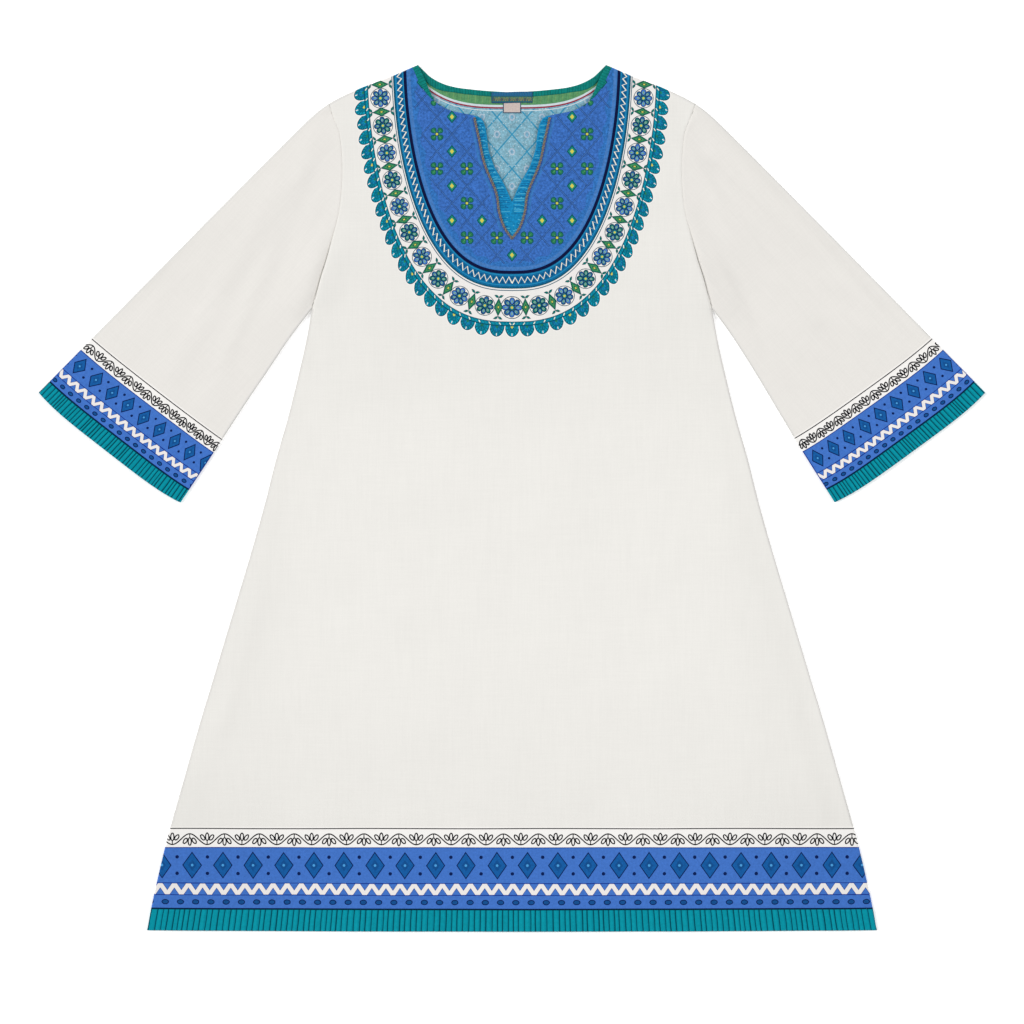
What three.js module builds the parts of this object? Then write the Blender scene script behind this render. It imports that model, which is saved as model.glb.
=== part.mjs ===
// A knee-length A-line tunic dress in plain cotton, laid out flat with its front upward.
// Millimetres. +Z is up, +Y runs from hem to neck, +X is the wearer's left.
// The cloth is two layers: the back lies on the surface at z = 0 and the front lies on it.
// Both turn round a small fold where they meet at side seams, shoulders and sleeve edges.
import * as THREE from "three";
import { mergeVertices } from "three/addons/utils/BufferGeometryUtils.js";

// ---------------------------------------------------------------- named sizes
const WALL = 1.0; // thickness of one layer of cloth
const GAP = 0.3; // space between two pieces at a seam
const FOLD_R = 1.6; // outer radius of the folded edges, so a folded edge stands 3.2 high
const INNER_R = FOLD_R - WALL; // hollow inside a folded edge
const EDGE_START = 0.14; // how far a seamed panel edge stays inside the outline
const HEM_SEAM_Y = -452.1; // where the panels meet the ribbed hem edging
const CUFF_EDGING_DEPTH = 17.0; // depth of the ribbed cuff edging
const CUFF_BOW = 5.3; // how far the cuff edge bows out from a straight line
const BINDING_PROUD = 0.35; // a folded binding stands this much above the cloth beside it
const BACK_BINDING_WIDTH = 5.5;
const BRAID_WIDTH = 3.0;
const BRAID_HEIGHT = 1.0;
const LABEL_HALF_WIDTH = 23.6;
const TAG_HALF_WIDTH = 9.9;
const TRIM_THICK = 1.0; // label and tag, each a folded double layer

// ---------------------------------------------------------------- tables of the cut
// Half width of the body at stations from hem to underarm (side seam, right of centre).
const SIDE_SEAM = table(["y", "half"], [
  [-476.4, 401.2],
  [-452.1, 397.0],
  [-420.2, 390.0],
  [-387.2, 382.3],
  [-354.2, 373.5],
  [-321.2, 364.1],
  [-255.2, 345.4],
  [-189.2, 325.6],
  [-123.2, 305.8],
  [-57.2, 286.0],
  [-2.2, 270.6],
  [41.8, 259.6],
  [85.8, 247.0],
  [129.8, 236.0],
  [173.8, 226.0],
  [208.5, 219.8],
]);
// The armhole seam, from the underarm to the top of the shoulder.
const ARMHOLE = table(["y", "half"], [
  [208.5, 219.8],
  [220.0, 216.2],
  [244.2, 209.6],
  [259.6, 204.6],
  [286.0, 197.5],
  [316.8, 189.8],
  [360.8, 186.5],
  [401.5, 189.8],
  [415.8, 195.3],
  [433.6, 201.3],
]);
// The shoulder seam, which runs on as the folded top edge of the sleeve.
const SHOULDER = table(["x", "y"], [
  [103.5, 476.4],
  [130.4, 464.6],
  [163.4, 452.1],
  [188.7, 440.6],
  [201.3, 433.6],
]);
const SLEEVE_TOP = table(["x", "y"], [
  [201.3, 433.6],
  [209.5, 428.2],
  [221.7, 417.5],
  [238.2, 401.5],
  [337.2, 302.0],
  [430.0, 207.8],
  [520.3, 116.1],
]);
// The underarm seam of each sleeve, from underarm to cuff.
const SLEEVE_UNDER = {
  left: table(["x", "y"], [
    [219.8, 208.5],
    [229.4, 195.8],
    [244.8, 173.8],
    [265.7, 140.8],
    [285.5, 107.8],
    [318.5, 52.8],
    [354.8, -4.6],
  ]),
  right: table(["x", "y"], [
    [219.8, 208.5],
    [229.4, 195.8],
    [246.0, 173.8],
    [267.9, 140.8],
    [290.4, 107.8],
    [326.2, 52.8],
    [364.5, -4.9],
  ]),
};
// The front neckline with its slit, from the foot of the slit up to the shoulder.
const FRONT_NECK = table(["y", "x"], [
  [325.6, 0.0],
  [334.0, 3.6],
  [342.4, 7.2],
  [352.5, 12.6],
  [363.2, 18.7],
  [373.0, 22.6],
  [384.2, 25.9],
  [396.0, 27.2],
  [405.2, 28.7],
  [412.0, 30.6],
  [417.1, 33.6],
  [419.3, 37.2],
  [421.3, 45.7],
  [423.5, 57.0],
  [426.1, 68.0],
  [431.4, 78.0],
  [436.7, 85.8],
  [440.8, 90.5],
  [447.5, 96.2],
  [455.0, 101.7],
  [465.4, 106.1],
  [472.9, 109.7],
]);
// The bound part of the front neckline: opening edge and seam edge of the binding.
const FRONT_BINDING = table(["y", "edge", "seam"], [
  [436.7, 84.6, 85.5],
  [440.8, 87.1, 90.2],
  [447.5, 90.3, 95.9],
  [455.0, 93.5, 101.4],
  [465.4, 98.0, 105.8],
  [473.2, 101.9, 109.6],
  [476.4, 103.1, 103.9],
]);
// The back neckline, outer edge of its binding.
const BACK_NECK = table(["x", "y"], [
  [0.0, 446.3],
  [23.7, 447.6],
  [43.5, 449.4],
  [63.3, 452.1],
  [76.5, 456.0],
  [89.7, 463.1],
  [96.3, 469.2],
  [103.3, 476.2],
]);
// The couched cord round the slit, centre line.
const BRAID = table(["x", "y"], [
  [41.5, 418.2],
  [36.5, 395.7],
  [30.3, 367.6],
  [17.0, 334.0],
  [14.1, 314.4],
  [8.5, 297.4],
  [0.0, 284.9],
]);
// Soft relief of the front layer. Each row is a ridge (or a trough, if negative) along a
// line, with the distance over which it dies away. side 0 lies across the middle,
// 1 is the wearer's left, -1 the right.
const BODY_FOLDS = table(["side", "x0", "y0", "x1", "y1", "spread", "height"], [
  [0, 0, 140, 0, -330, 150, 1.3],
  [1, 262, -452, 205, -10, 30, 0.9],
  [-1, 250, -452, 190, 60, 28, 1.0],
  [1, 96, -470, 70, -150, 36, 0.8],
  [-1, 88, -470, 58, -90, 38, 0.9],
  [1, 176, -470, 150, -240, 26, -0.5],
  [-1, 168, -470, 140, -210, 26, -0.5],
  [1, 168, 330, 150, 150, 30, 0.5],
  [-1, 166, 320, 146, 140, 30, 0.5],
]);
const SLEEVE_FOLDS = table(["side", "x0", "y0", "x1", "y1", "spread", "height"], [
  [1, 224, 300, 330, 120, 17, 1.1],
  [1, 232, 372, 400, 150, 20, 1.0],
  [-1, 228, 296, 338, 128, 16, 1.1],
  [-1, 240, 360, 410, 160, 20, 0.9],
  [1, 226, 262, 300, 140, 9, -0.5],
  [-1, 226, 258, 306, 140, 9, -0.5],
]);
// The crease beside the underarm: the body edge rises over the sleeve, which dips.
const CREASE = { fromY: 296, toY: 206, reach: 9, bodyRise: 1.2, sleeveDip: 0.7 };

// ---------------------------------------------------------------- small helpers
function table(columns, rows) {
  return rows.map((r) => Object.fromEntries(columns.map((c, i) => [c, r[i]])));
}
function lookup(rows, key, value, at) {
  if (at <= rows[0][key]) return rows[0][value];
  for (let i = 1; i < rows.length; i++)
    if (at <= rows[i][key]) {
      const a = rows[i - 1],
        b = rows[i],
        t = (at - a[key]) / (b[key] - a[key]);
      return a[value] + t * (b[value] - a[value]);
    }
  return rows.at(-1)[value];
}
const clamp = (v, lo, hi) => Math.min(hi, Math.max(lo, v));
const smooth = (v) => {
  const t = clamp(v, 0, 1);
  return t * t * (3 - 2 * t);
};
function toSegment(x, y, ax, ay, bx, by) {
  const dx = bx - ax,
    dy = by - ay,
    t = clamp(((x - ax) * dx + (y - ay) * dy) / (dx * dx + dy * dy), 0, 1);
  return { t, d: Math.hypot(x - ax - t * dx, y - ay - t * dy) };
}
// A point at share t of the length of a polyline of {x, y}.
function along(line, t) {
  const lengths = [0];
  for (let i = 1; i < line.length; i++)
    lengths.push(lengths[i - 1] + Math.hypot(line[i].x - line[i - 1].x, line[i].y - line[i - 1].y));
  const want = clamp(t, 0, 1) * lengths.at(-1);
  for (let i = 1; i < line.length; i++)
    if (want <= lengths[i] || i === line.length - 1) {
      const u = (want - lengths[i - 1]) / (lengths[i] - lengths[i - 1]);
      return {
        x: line[i - 1].x + u * (line[i].x - line[i - 1].x),
        y: line[i - 1].y + u * (line[i].y - line[i - 1].y),
      };
    }
}

// ---------------------------------------------------------------- the surfaces of the cloth
// The folded outline on one side: shoulder and sleeve top, then underarm and side seam.
const ARMHOLE_LINE = ARMHOLE.map((r) => ({ x: r.half, y: r.y }));
const SIDE_LINE = SIDE_SEAM.map((r) => ({ x: r.half, y: r.y })).reverse();
const TOP_LINE = [...SHOULDER, ...SLEEVE_TOP.slice(1)];
function distanceTo(line, x, y) {
  let best = Infinity;
  for (let i = 1; i < line.length; i++)
    best = Math.min(best, toSegment(x, y, line[i - 1].x, line[i - 1].y, line[i].x, line[i].y).d);
  return best;
}
// How far a point lies inside the folded outline.
function inside(x, y) {
  const ax = Math.abs(x),
    under = SLEEVE_UNDER[x >= 0 ? "left" : "right"];
  return Math.min(distanceTo(TOP_LINE, ax, y), distanceTo(under, ax, y), distanceTo(SIDE_LINE, ax, y));
}
const rise = (d, r) => (d <= 0 ? 0 : d >= r ? r : Math.sqrt(r * r - (r - d) * (r - d)));
function relief(folds, x, y) {
  let z = 0;
  for (const f of folds) {
    const s = f.side || 1,
      m = toSegment(x, y, s * f.x0, f.y0, s * f.x1, f.y1);
    z += f.height * Math.exp(-((m.d / f.spread) ** 2));
  }
  return z * smooth(inside(x, y) / 45);
}
const creaseShare = (y) =>
  smooth((CREASE.fromY - y) / 40) * smooth((y - CREASE.toY) / 12);
function creaseReach(x, y) {
  return Math.exp(-((distanceTo(ARMHOLE_LINE, Math.abs(x), y) / CREASE.reach) ** 2)) * creaseShare(y);
}
const bodyLoft = (x, y) => relief(BODY_FOLDS, x, y) + CREASE.bodyRise * creaseReach(x, y);
const sleeveLoft = (x, y) => relief(SLEEVE_FOLDS, x, y) - CREASE.sleeveDip * creaseReach(x, y);
// Outer and inner face of the front layer, and of the back layer.
function frontFaces(x, y, loft) {
  const d = inside(x, y),
    low = FOLD_R + Math.max(GAP / 2, rise(d - WALL, INNER_R)) + loft,
    high = FOLD_R + rise(d, FOLD_R) + loft;
  return { high: Math.max(high, low + 0.45), low };
}
function backFaces(x, y) {
  const d = inside(x, y),
    high = FOLD_R - Math.max(GAP / 2, rise(d - WALL, INNER_R)),
    low = FOLD_R - rise(d, FOLD_R);
  return { high, low: Math.min(low, high - 0.45) };
}

// ---------------------------------------------------------------- mesh making
class Shell {
  constructor() {
    this.points = [];
  }
  tri(a, b, c) {
    const same = (p, q) => Math.abs(p[0] - q[0]) + Math.abs(p[1] - q[1]) + Math.abs(p[2] - q[2]) < 1e-4;
    if (same(a, b) || same(b, c) || same(a, c)) return;
    this.points.push(...a, ...b, ...c);
  }
  quad(a, b, c, d) {
    this.tri(a, b, c);
    this.tri(a, c, d);
  }
  mesh(name, color, roughness) {
    let g = new THREE.BufferGeometry();
    g.setAttribute("position", new THREE.Float32BufferAttribute(this.points, 3));
    g = mergeVertices(g, 1e-3);
    const p = g.attributes.position,
      idx = g.index,
      v = [0, 1, 2].map(() => new THREE.Vector3());
    let volume = 0;
    for (let i = 0; i < idx.count; i += 3) {
      v.forEach((q, k) => q.fromBufferAttribute(p, idx.getX(i + k)));
      volume += v[0].dot(v[1].clone().cross(v[2]));
    }
    if (volume < 0)
      for (let i = 0; i < idx.count; i += 3) {
        const keep = idx.getX(i + 1);
        idx.setX(i + 1, idx.getX(i + 2));
        idx.setX(i + 2, keep);
      }
    g.computeVertexNormals();
    const m = new THREE.Mesh(g, new THREE.MeshStandardMaterial({ color, roughness, metalness: 0 }));
    m.name = name;
    return m;
  }
}
// A wall over rows of points {x, y, high, low}; open says which borders get no side face.
function addWall(shell, rows, open = {}) {
  const top = (p) => [p.x, p.y, p.high],
    low = (p) => [p.x, p.y, p.low],
    n = rows[0].length;
  for (let i = 0; i + 1 < rows.length; i++)
    for (let j = 0; j + 1 < n; j++) {
      const a = rows[i][j],
        b = rows[i][j + 1],
        c = rows[i + 1][j + 1],
        d = rows[i + 1][j];
      shell.quad(top(a), top(b), top(c), top(d));
      shell.quad(low(a), low(d), low(c), low(b));
    }
  const side = (a, b) => shell.quad(low(a), low(b), top(b), top(a));
  for (let j = 0; j + 1 < n; j++) {
    side(rows[0][j], rows[0][j + 1]);
    side(rows.at(-1)[j + 1], rows.at(-1)[j]);
  }
  for (let i = 0; i + 1 < rows.length; i++) {
    if (!open.first || !open.first(i)) side(rows[i + 1][0], rows[i][0]);
    if (!open.last || !open.last(i)) side(rows[i][n - 1], rows[i + 1][n - 1]);
  }
}
const mirrored = (rows) => rows.map((r) => r.map((p) => ({ ...p, x: -p.x })).reverse());
// A flattened tube: each ring has an outer and an inner loop of [x, y, z].
function addTube(shell, rings) {
  const n = rings[0].outer.length;
  for (let k = 0; k < n; k++) {
    const m = (k + 1) % n;
    for (let i = 0; i + 1 < rings.length; i++) {
      const a = rings[i],
        b = rings[i + 1];
      shell.quad(a.outer[k], a.outer[m], b.outer[m], b.outer[k]);
      shell.quad(a.inner[k], b.inner[k], b.inner[m], a.inner[m]);
    }
    const s = rings[0],
      e = rings.at(-1);
    shell.quad(s.outer[k], s.inner[k], s.inner[m], s.outer[m]);
    shell.quad(e.outer[k], e.outer[m], e.inner[m], e.inner[k]);
  }
}

// ---------------------------------------------------------------- body panels
// Distances of the columns beside a folded edge, measured square to the edge.
const EDGE_STEPS = [EDGE_START, 0.6, 1.7, 6.0];
const outerAt = (y) => {
  if (y <= 208.5) return lookup(SIDE_SEAM, "y", "half", y);
  if (y <= 433.6) return lookup(ARMHOLE, "y", "half", y);
  return lookup([...SHOULDER].reverse(), "y", "x", y);
};
// One half of a panel, row by row from hem seam to shoulder. innerAt gives the neckline.
function halfRows(ys, innerAt, columns, faces) {
  return ys.map((y, i) => {
    const xo = outerAt(y),
      xi = innerAt(y),
      below = ys[Math.max(i - 1, 0)],
      above = ys[Math.min(i + 1, ys.length - 1)],
      lean = (outerAt(above) - outerAt(below)) / (above - below), // sideways run per unit of height
      square = Math.hypot(1, lean),
      steps = EDGE_STEPS.map((s) => s * square),
      room = xo - xi,
      scale = Math.min(1, (0.8 * room) / steps.at(-1)),
      edge = steps.map((s) => xo - s * scale),
      last = edge.at(-1),
      row = [];
    for (let j = 0; j < columns; j++) row.push(xi + ((last - xi) * j) / columns);
    row.push(...edge.reverse());
    return row.map((x) => ({ x, y, ...faces(x, y) }));
  });
}
const panelYs = (from, extra) =>
  [...new Set([
    from,
    ...SIDE_SEAM.map((r) => r.y).filter((y) => y > from + 1),
    ...ARMHOLE.map((r) => r.y),
    ...SHOULDER.map((r) => r.y).filter((y) => y < 470),
    ...extra,
  ])].sort((a, b) => a - b);

function frontPanel() {
  const shell = new Shell(),
    top = 472.9,
    foot = FRONT_NECK[0].y,
    ys = panelYs(HEM_SEAM_Y + GAP / 2, [-430, ...FRONT_NECK.map((r) => r.y)])
      .filter((y, i, all) => y <= top && !(i > 0 && y - all[i - 1] < 1.0)),
    rows = halfRows(
      ys,
      (y) => (y <= foot ? 0 : lookup(FRONT_NECK, "y", "x", y)),
      7,
      (x, y) => frontFaces(x, y, bodyLoft(x, y)),
    ),
    left = halfRows(
      ys,
      (y) => (y <= foot ? 0 : lookup(FRONT_NECK, "y", "x", y)),
      7,
      (x, y) => frontFaces(-x, y, bodyLoft(-x, y)),
    );
  const joined = (i) => ys[i + 1] <= foot + 1e-6;
  addWall(shell, rows, { first: joined });
  addWall(shell, mirrored(left), { last: joined });
  return shell.mesh("front_panel", 0xeeece7, 0.9);
}

// The neckline that the back panel is cut to: inside the binding by its width and a gap.
function offsetLine(line, distance) {
  return line.map((p, i) => {
    const a = line[Math.max(i - 1, 0)],
      b = line[Math.min(i + 1, line.length - 1)],
      l = Math.hypot(b.x - a.x, b.y - a.y);
    return i === 0
      ? { x: 0, y: p.y - distance }
      : { x: p.x + ((b.y - a.y) / l) * distance, y: p.y - ((b.x - a.x) / l) * distance };
  });
}
function backPanel() {
  const shell = new Shell(),
    neck = offsetLine(BACK_NECK, BACK_BINDING_WIDTH + GAP),
    foot = neck[0].y,
    top = neck.at(-1).y,
    innerAt = (y) => (y <= foot ? 0 : lookup(neck, "y", "x", y)),
    ys = panelYs(HEM_SEAM_Y + GAP / 2, neck.map((p) => p.y))
      .filter((y, i, all) => y <= top && !(i > 0 && y - all[i - 1] < 1.0)),
    rows = halfRows(ys, innerAt, 4, backFaces),
    left = halfRows(ys, innerAt, 4, (x, y) => backFaces(-x, y));
  const joined = (i) => ys[i + 1] <= foot + 1e-6;
  addWall(shell, rows, { first: joined });
  addWall(shell, mirrored(left), { last: joined });
  return shell.mesh("back_panel", 0xeeece7, 0.9);
}

// ---------------------------------------------------------------- sleeves and their edging
// A point of the sleeve at share s from armhole to cuff and share w from top to underarm.
function sleevePoint(side, s, w) {
  const armhole = [...ARMHOLE_LINE].reverse(), // top to underarm
    under = SLEEVE_UNDER[side],
    t0 = SLEEVE_TOP[0],
    t1 = SLEEVE_TOP.at(-1),
    u0 = under[0],
    u1 = under.at(-1),
    T = along(SLEEVE_TOP, s),
    B = along(under, s),
    A = along(armhole, w),
    chord = { x: t1.x + w * (u1.x - t1.x), y: t1.y + w * (u1.y - t1.y) },
    run = Math.hypot(u1.x - t1.x, u1.y - t1.y),
    bow = CUFF_BOW * (1 - (2 * w - 1) ** 4),
    C = {
      x: chord.x + (bow * (t1.y - u1.y)) / run,
      y: chord.y - (bow * (t1.x - u1.x)) / run,
    },
    bend = (axis) => {
      const a0 = t0[axis] + w * (u0[axis] - t0[axis]),
        c0 = chord[axis];
      return (
        (1 - w) * T[axis] + w * B[axis] + (1 - s) * (A[axis] - a0) + s * (C[axis] - c0)
      );
    };
  return { x: bend("x"), y: bend("y") };
}
// Columns from the top fold to the underarm seam: a share of the way across, or a
// distance in from a fold, outside and inside the cloth.
const FOLD_STEPS = table(["outer", "inner"], [
  [0.0, WALL],
  [0.6, WALL + 0.2],
  [1.7, WALL + 0.75],
  [6.0, 6.0],
]);
function ringAt(pointAt, middle, loft) {
  const a = pointAt(0),
    b = pointAt(1),
    width = Math.hypot(b.x - a.x, b.y - a.y),
    columns = [
      ...FOLD_STEPS.map((f) => ({ outer: f.outer / width, inner: f.inner / width })),
      ...Array.from({ length: middle - 1 }, (_, j) => {
        const e = FOLD_STEPS.at(-1).outer / width,
          w = e + ((j + 1) / middle) * (1 - 2 * e);
        return { outer: w, inner: w };
      }),
      ...[...FOLD_STEPS].reverse().map((f) => ({ outer: 1 - f.outer / width, inner: 1 - f.inner / width })),
    ],
    last = columns.length - 1,
    outer = [],
    inner = [];
  const put = (c, j, sign) => {
    const p = pointAt(c.outer),
      q = pointAt(c.inner),
      edge = Math.min(c.outer, 1 - c.outer) * width,
      depth = Math.min(c.inner, 1 - c.inner) * width,
      end = j === 0 || j === last,
      up = sign > 0 ? loft(p.x, p.y) : 0,
      upIn = sign > 0 ? loft(q.x, q.y) : 0;
    outer.push([p.x, p.y, FOLD_R + (end ? 0 : sign * rise(edge, FOLD_R) + up)]);
    inner.push([q.x, q.y, FOLD_R + (end ? 0 : sign * rise(depth - WALL, INNER_R) + upIn)]);
  };
  columns.forEach((c, j) => put(c, j, 1));
  for (let j = last - 1; j > 0; j--) put(columns[j], j, -1);
  return { outer, inner };
}
const sleeveLength = (side, w) => {
  const a = sleevePoint(side, 0, w),
    b = sleevePoint(side, 1, w);
  return Math.hypot(b.x - a.x, b.y - a.y);
};
function sleeve(side, name, from, to, steps, middle, color) {
  const sign = side === "left" ? 1 : -1,
    shell = new Shell(),
    rings = steps.map((u) =>
      ringAt(
        (w) => {
          const l = sleeveLength(side, w),
            s0 = from(l),
            s1 = to(l),
            p = sleevePoint(side, s0 + u * (s1 - s0), w);
          return { x: sign * p.x, y: p.y };
        },
        middle,
        sleeveLoft,
      ),
    );
  addTube(shell, rings);
  return shell.mesh(name, color, 0.9);
}

// ---------------------------------------------------------------- hem edging
function hemEdging() {
  const shell = new Shell(),
    columns = 20,
    rings = [0, 0.5, 1].map((u) => {
      const yAt = (x) => {
          const hem = -476.4 + 1.4 * (x / 401) ** 2;
          return HEM_SEAM_Y - GAP / 2 + u * (hem - (HEM_SEAM_Y - GAP / 2));
        },
        half = lookup(SIDE_SEAM, "y", "half", yAt(400));
      return ringAt(
        (w) => {
          const x = (2 * w - 1) * half;
          return { x, y: yAt(x) };
        },
        columns,
        bodyLoft,
      );
    });
  addTube(shell, rings);
  return shell.mesh("hem_edging", 0x0c8a94, 0.85);
}

// ---------------------------------------------------------------- neck trims
function frontBinding(side, name) {
  const sign = side === "left" ? 1 : -1,
    shell = new Shell(),
    rows = FRONT_BINDING.map((r) =>
      [0, 0.5, 1].map((t) => {
        const x = r.edge + t * (r.seam - r.edge),
          f = frontFaces(sign * x, r.y, bodyLoft(sign * x, r.y));
        return { x, y: r.y, high: f.high + BINDING_PROUD, low: f.low };
      }),
    );
  addWall(shell, sign > 0 ? rows : mirrored(rows));
  return shell.mesh(name, 0x15785f, 0.85);
}
function backBinding() {
  const inner = offsetLine(BACK_NECK, BACK_BINDING_WIDTH),
    half = BACK_NECK.map((p, i) =>
      [0, 0.5, 1].map((t) => {
        const x = p.x + t * (inner[i].x - p.x),
          y = p.y + t * (inner[i].y - p.y),
          f = backFaces(x, y);
        return { x, y, high: Math.min(f.high + BINDING_PROUD, FOLD_R - 0.1), low: f.low };
      }),
    ),
    rows = [...half.slice(1).reverse().map((r) => r.map((p) => ({ ...p, x: -p.x }))), ...half],
    shell = new Shell();
  addWall(shell, rows);
  return shell.mesh("neck_binding_back", 0x15785f, 0.85);
}
function slitBraid() {
  const line = [...BRAID.slice(0, -1).map((p) => ({ x: -p.x, y: p.y })), ...[...BRAID].reverse()],
    rows = line.map((p, i) => {
      const a = line[Math.max(i - 1, 0)],
        b = line[Math.min(i + 1, line.length - 1)],
        before = Math.atan2(p.y - a.y, p.x - a.x),
        after = Math.atan2(b.y - p.y, b.x - p.x),
        turn = i && i < line.length - 1 ? after - before : 0,
        l = Math.hypot(b.x - a.x, b.y - a.y),
        nx = -(b.y - a.y) / l,
        ny = (b.x - a.x) / l,
        reach = BRAID_WIDTH / 2 / Math.cos(turn / 2);
      return [-1, 0, 1].map((t) => {
        const x = p.x + nx * reach * t,
          y = p.y + ny * reach * t,
          base = frontFaces(x, y, bodyLoft(x, y)).high + GAP;
        return { x, y, low: base, high: base + BRAID_HEIGHT * (t ? 0.55 : 1) };
      });
    }),
    shell = new Shell();
  addWall(shell, rows);
  return shell.mesh("slit_braid", 0x8a5f3c, 0.8);
}
// A flat trim sewn inside the back neck: rows from top to bottom, lying on what is there.
function insideTrim(name, color, half, rows) {
  const shell = new Shell();
  addWall(
    shell,
    table(["y", "base"], rows).map((r) =>
      [-1, 0, 1].map((t) => ({ x: t * half, y: r.y, low: r.base + GAP, high: r.base + GAP + TRIM_THICK })),
    ),
  );
  return shell.mesh(name, color, 0.8);
}

// ---------------------------------------------------------------- the dress
const dress = new THREE.Group();
dress.name = "tunic_dress";
const armholeSteps = [0, 0.06, 0.16, 0.3, 0.45, 0.6, 0.8, 1];
dress.add(backPanel());
dress.add(frontPanel());
for (const side of ["left", "right"]) {
  dress.add(
    sleeve(
      side,
      "sleeve_" + side,
      (l) => (GAP / 2 + 0.1) / l,
      (l) => 1 - (CUFF_EDGING_DEPTH + GAP / 2) / l,
      armholeSteps,
      8,
      0xeeece7,
    ),
  );
  dress.add(
    sleeve(
      side,
      "cuff_edging_" + side,
      (l) => 1 - (CUFF_EDGING_DEPTH - GAP / 2) / l,
      () => 1,
      [0, 1],
      8,
      0x0c8a94,
    ),
  );
  dress.add(frontBinding(side, "neck_binding_front_" + side));
}
dress.add(hemEdging());
dress.add(backBinding());
dress.add(slitBraid());
const bindingTop = FOLD_R - INNER_R + BINDING_PROUD;
dress.add(
  insideTrim("neck_label", 0x2f7f95, LABEL_HALF_WIDTH, [
    [445.4, bindingTop],
    [440.0, bindingTop],
    [437.5, WALL + 0.05],
    [433.4, WALL + 0.05],
  ]),
);
dress.add(
  insideTrim("care_tag", 0xd9c8c4, TAG_HALF_WIDTH, [
    [433.0, WALL + 0.05],
    [423.4, WALL + 0.05],
  ]),
);
export default dress;
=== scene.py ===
"""A knee-length A-line cotton tunic dress laid out flat with its front up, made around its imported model.

Lengths are millimetres until a mesh is made: +X is the wearer's left, +Y runs from hem to neck, +Z is up.
Every printed figure is drawn here by a function, cut into the cloth's own mesh, and coloured face by face.
"""

import math

import bpy
import numpy as np
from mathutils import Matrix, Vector
from mathutils.geometry import delaunay_2d_cdt


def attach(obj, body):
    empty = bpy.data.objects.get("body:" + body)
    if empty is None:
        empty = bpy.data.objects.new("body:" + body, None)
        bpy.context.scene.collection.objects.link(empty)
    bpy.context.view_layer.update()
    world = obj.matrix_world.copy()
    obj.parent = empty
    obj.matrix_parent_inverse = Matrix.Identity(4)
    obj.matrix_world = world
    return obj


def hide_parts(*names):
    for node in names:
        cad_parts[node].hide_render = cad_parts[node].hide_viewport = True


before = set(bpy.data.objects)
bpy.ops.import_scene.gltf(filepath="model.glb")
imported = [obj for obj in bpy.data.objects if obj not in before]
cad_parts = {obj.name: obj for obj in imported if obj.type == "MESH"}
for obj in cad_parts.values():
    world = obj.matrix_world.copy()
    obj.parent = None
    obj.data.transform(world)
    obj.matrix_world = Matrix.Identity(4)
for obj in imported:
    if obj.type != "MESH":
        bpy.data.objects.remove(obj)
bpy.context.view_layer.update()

# ---------------------------------------------------------------- sizes of the cut, as in the model
FOLD_R = 1.6  # outer radius of the folded edges
CLOTH = 0.45  # thickness of the cotton
CUFF_EDGING = 17.0
CUFF_BOW = 5.3
BINDING_BACK = 5.5
U = 1.1  # the drawing unit of the printed figures
LIGHT = 1.07  # what the lamps add to a colour, so that inks come out as named

SIDE_SEAM = np.array([
    (-476.4, 401.2), (-452.1, 397.0), (-420.2, 390.0), (-387.2, 382.3), (-354.2, 373.5), (-321.2, 364.1),
    (-255.2, 345.4), (-189.2, 325.6), (-123.2, 305.8), (-57.2, 286.0), (-2.2, 270.6), (41.8, 259.6),
    (85.8, 247.0), (129.8, 236.0), (173.8, 226.0), (208.5, 219.8)])[:, ::-1]
ARMHOLE = np.array([
    (208.5, 219.8), (220.0, 216.2), (244.2, 209.6), (259.6, 204.6), (286.0, 197.5), (316.8, 189.8),
    (360.8, 186.5), (401.5, 189.8), (415.8, 195.3), (433.6, 201.3)])[:, ::-1]
SHOULDER = np.array([(103.5, 476.4), (130.4, 464.6), (163.4, 452.1), (188.7, 440.6), (201.3, 433.6)])
SLEEVE_TOP = np.array([
    (201.3, 433.6), (209.5, 428.2), (221.7, 417.5), (238.2, 401.5), (337.2, 302.0), (430.0, 207.8), (520.3, 116.1)])
SLEEVE_UNDER = {
    1: np.array([(219.8, 208.5), (229.4, 195.8), (244.8, 173.8), (265.7, 140.8), (285.5, 107.8), (318.5, 52.8), (354.8, -4.6)]),
    -1: np.array([(219.8, 208.5), (229.4, 195.8), (246.0, 173.8), (267.9, 140.8), (290.4, 107.8), (326.2, 52.8), (364.5, -4.9)])}
FRONT_NECK = np.array([
    (0.0, 325.6), (3.6, 334.0), (7.2, 342.4), (12.6, 352.5), (18.7, 363.2), (22.6, 373.0), (25.9, 384.2), (27.2, 396.0),
    (28.7, 405.2), (30.6, 412.0), (33.6, 417.1), (37.2, 419.3), (45.7, 421.3), (57.0, 423.5), (68.0, 426.1), (78.0, 431.4),
    (85.8, 436.7)])
BINDING_EDGE = np.array([(84.6, 436.7), (87.1, 440.8), (90.3, 447.5), (93.5, 455.0), (98.0, 465.4), (101.9, 473.2), (103.1, 476.3)])
BINDING_SEAM = np.array([(85.6, 436.9), (90.4, 440.9), (95.9, 447.5), (101.4, 455.0), (105.8, 465.4), (109.4, 473.0), (110.0, 473.5)])
BACK_NECK = np.array([(0.0, 446.3), (23.7, 447.6), (43.5, 449.4), (63.3, 452.1), (76.5, 456.0), (89.7, 463.1), (96.3, 469.2), (103.3, 476.2)])
BRAID = np.array([(41.5, 418.2), (36.5, 395.7), (30.3, 367.6), (17.0, 334.0), (14.1, 314.4), (8.5, 297.4), (0.0, 284.9)])


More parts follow.
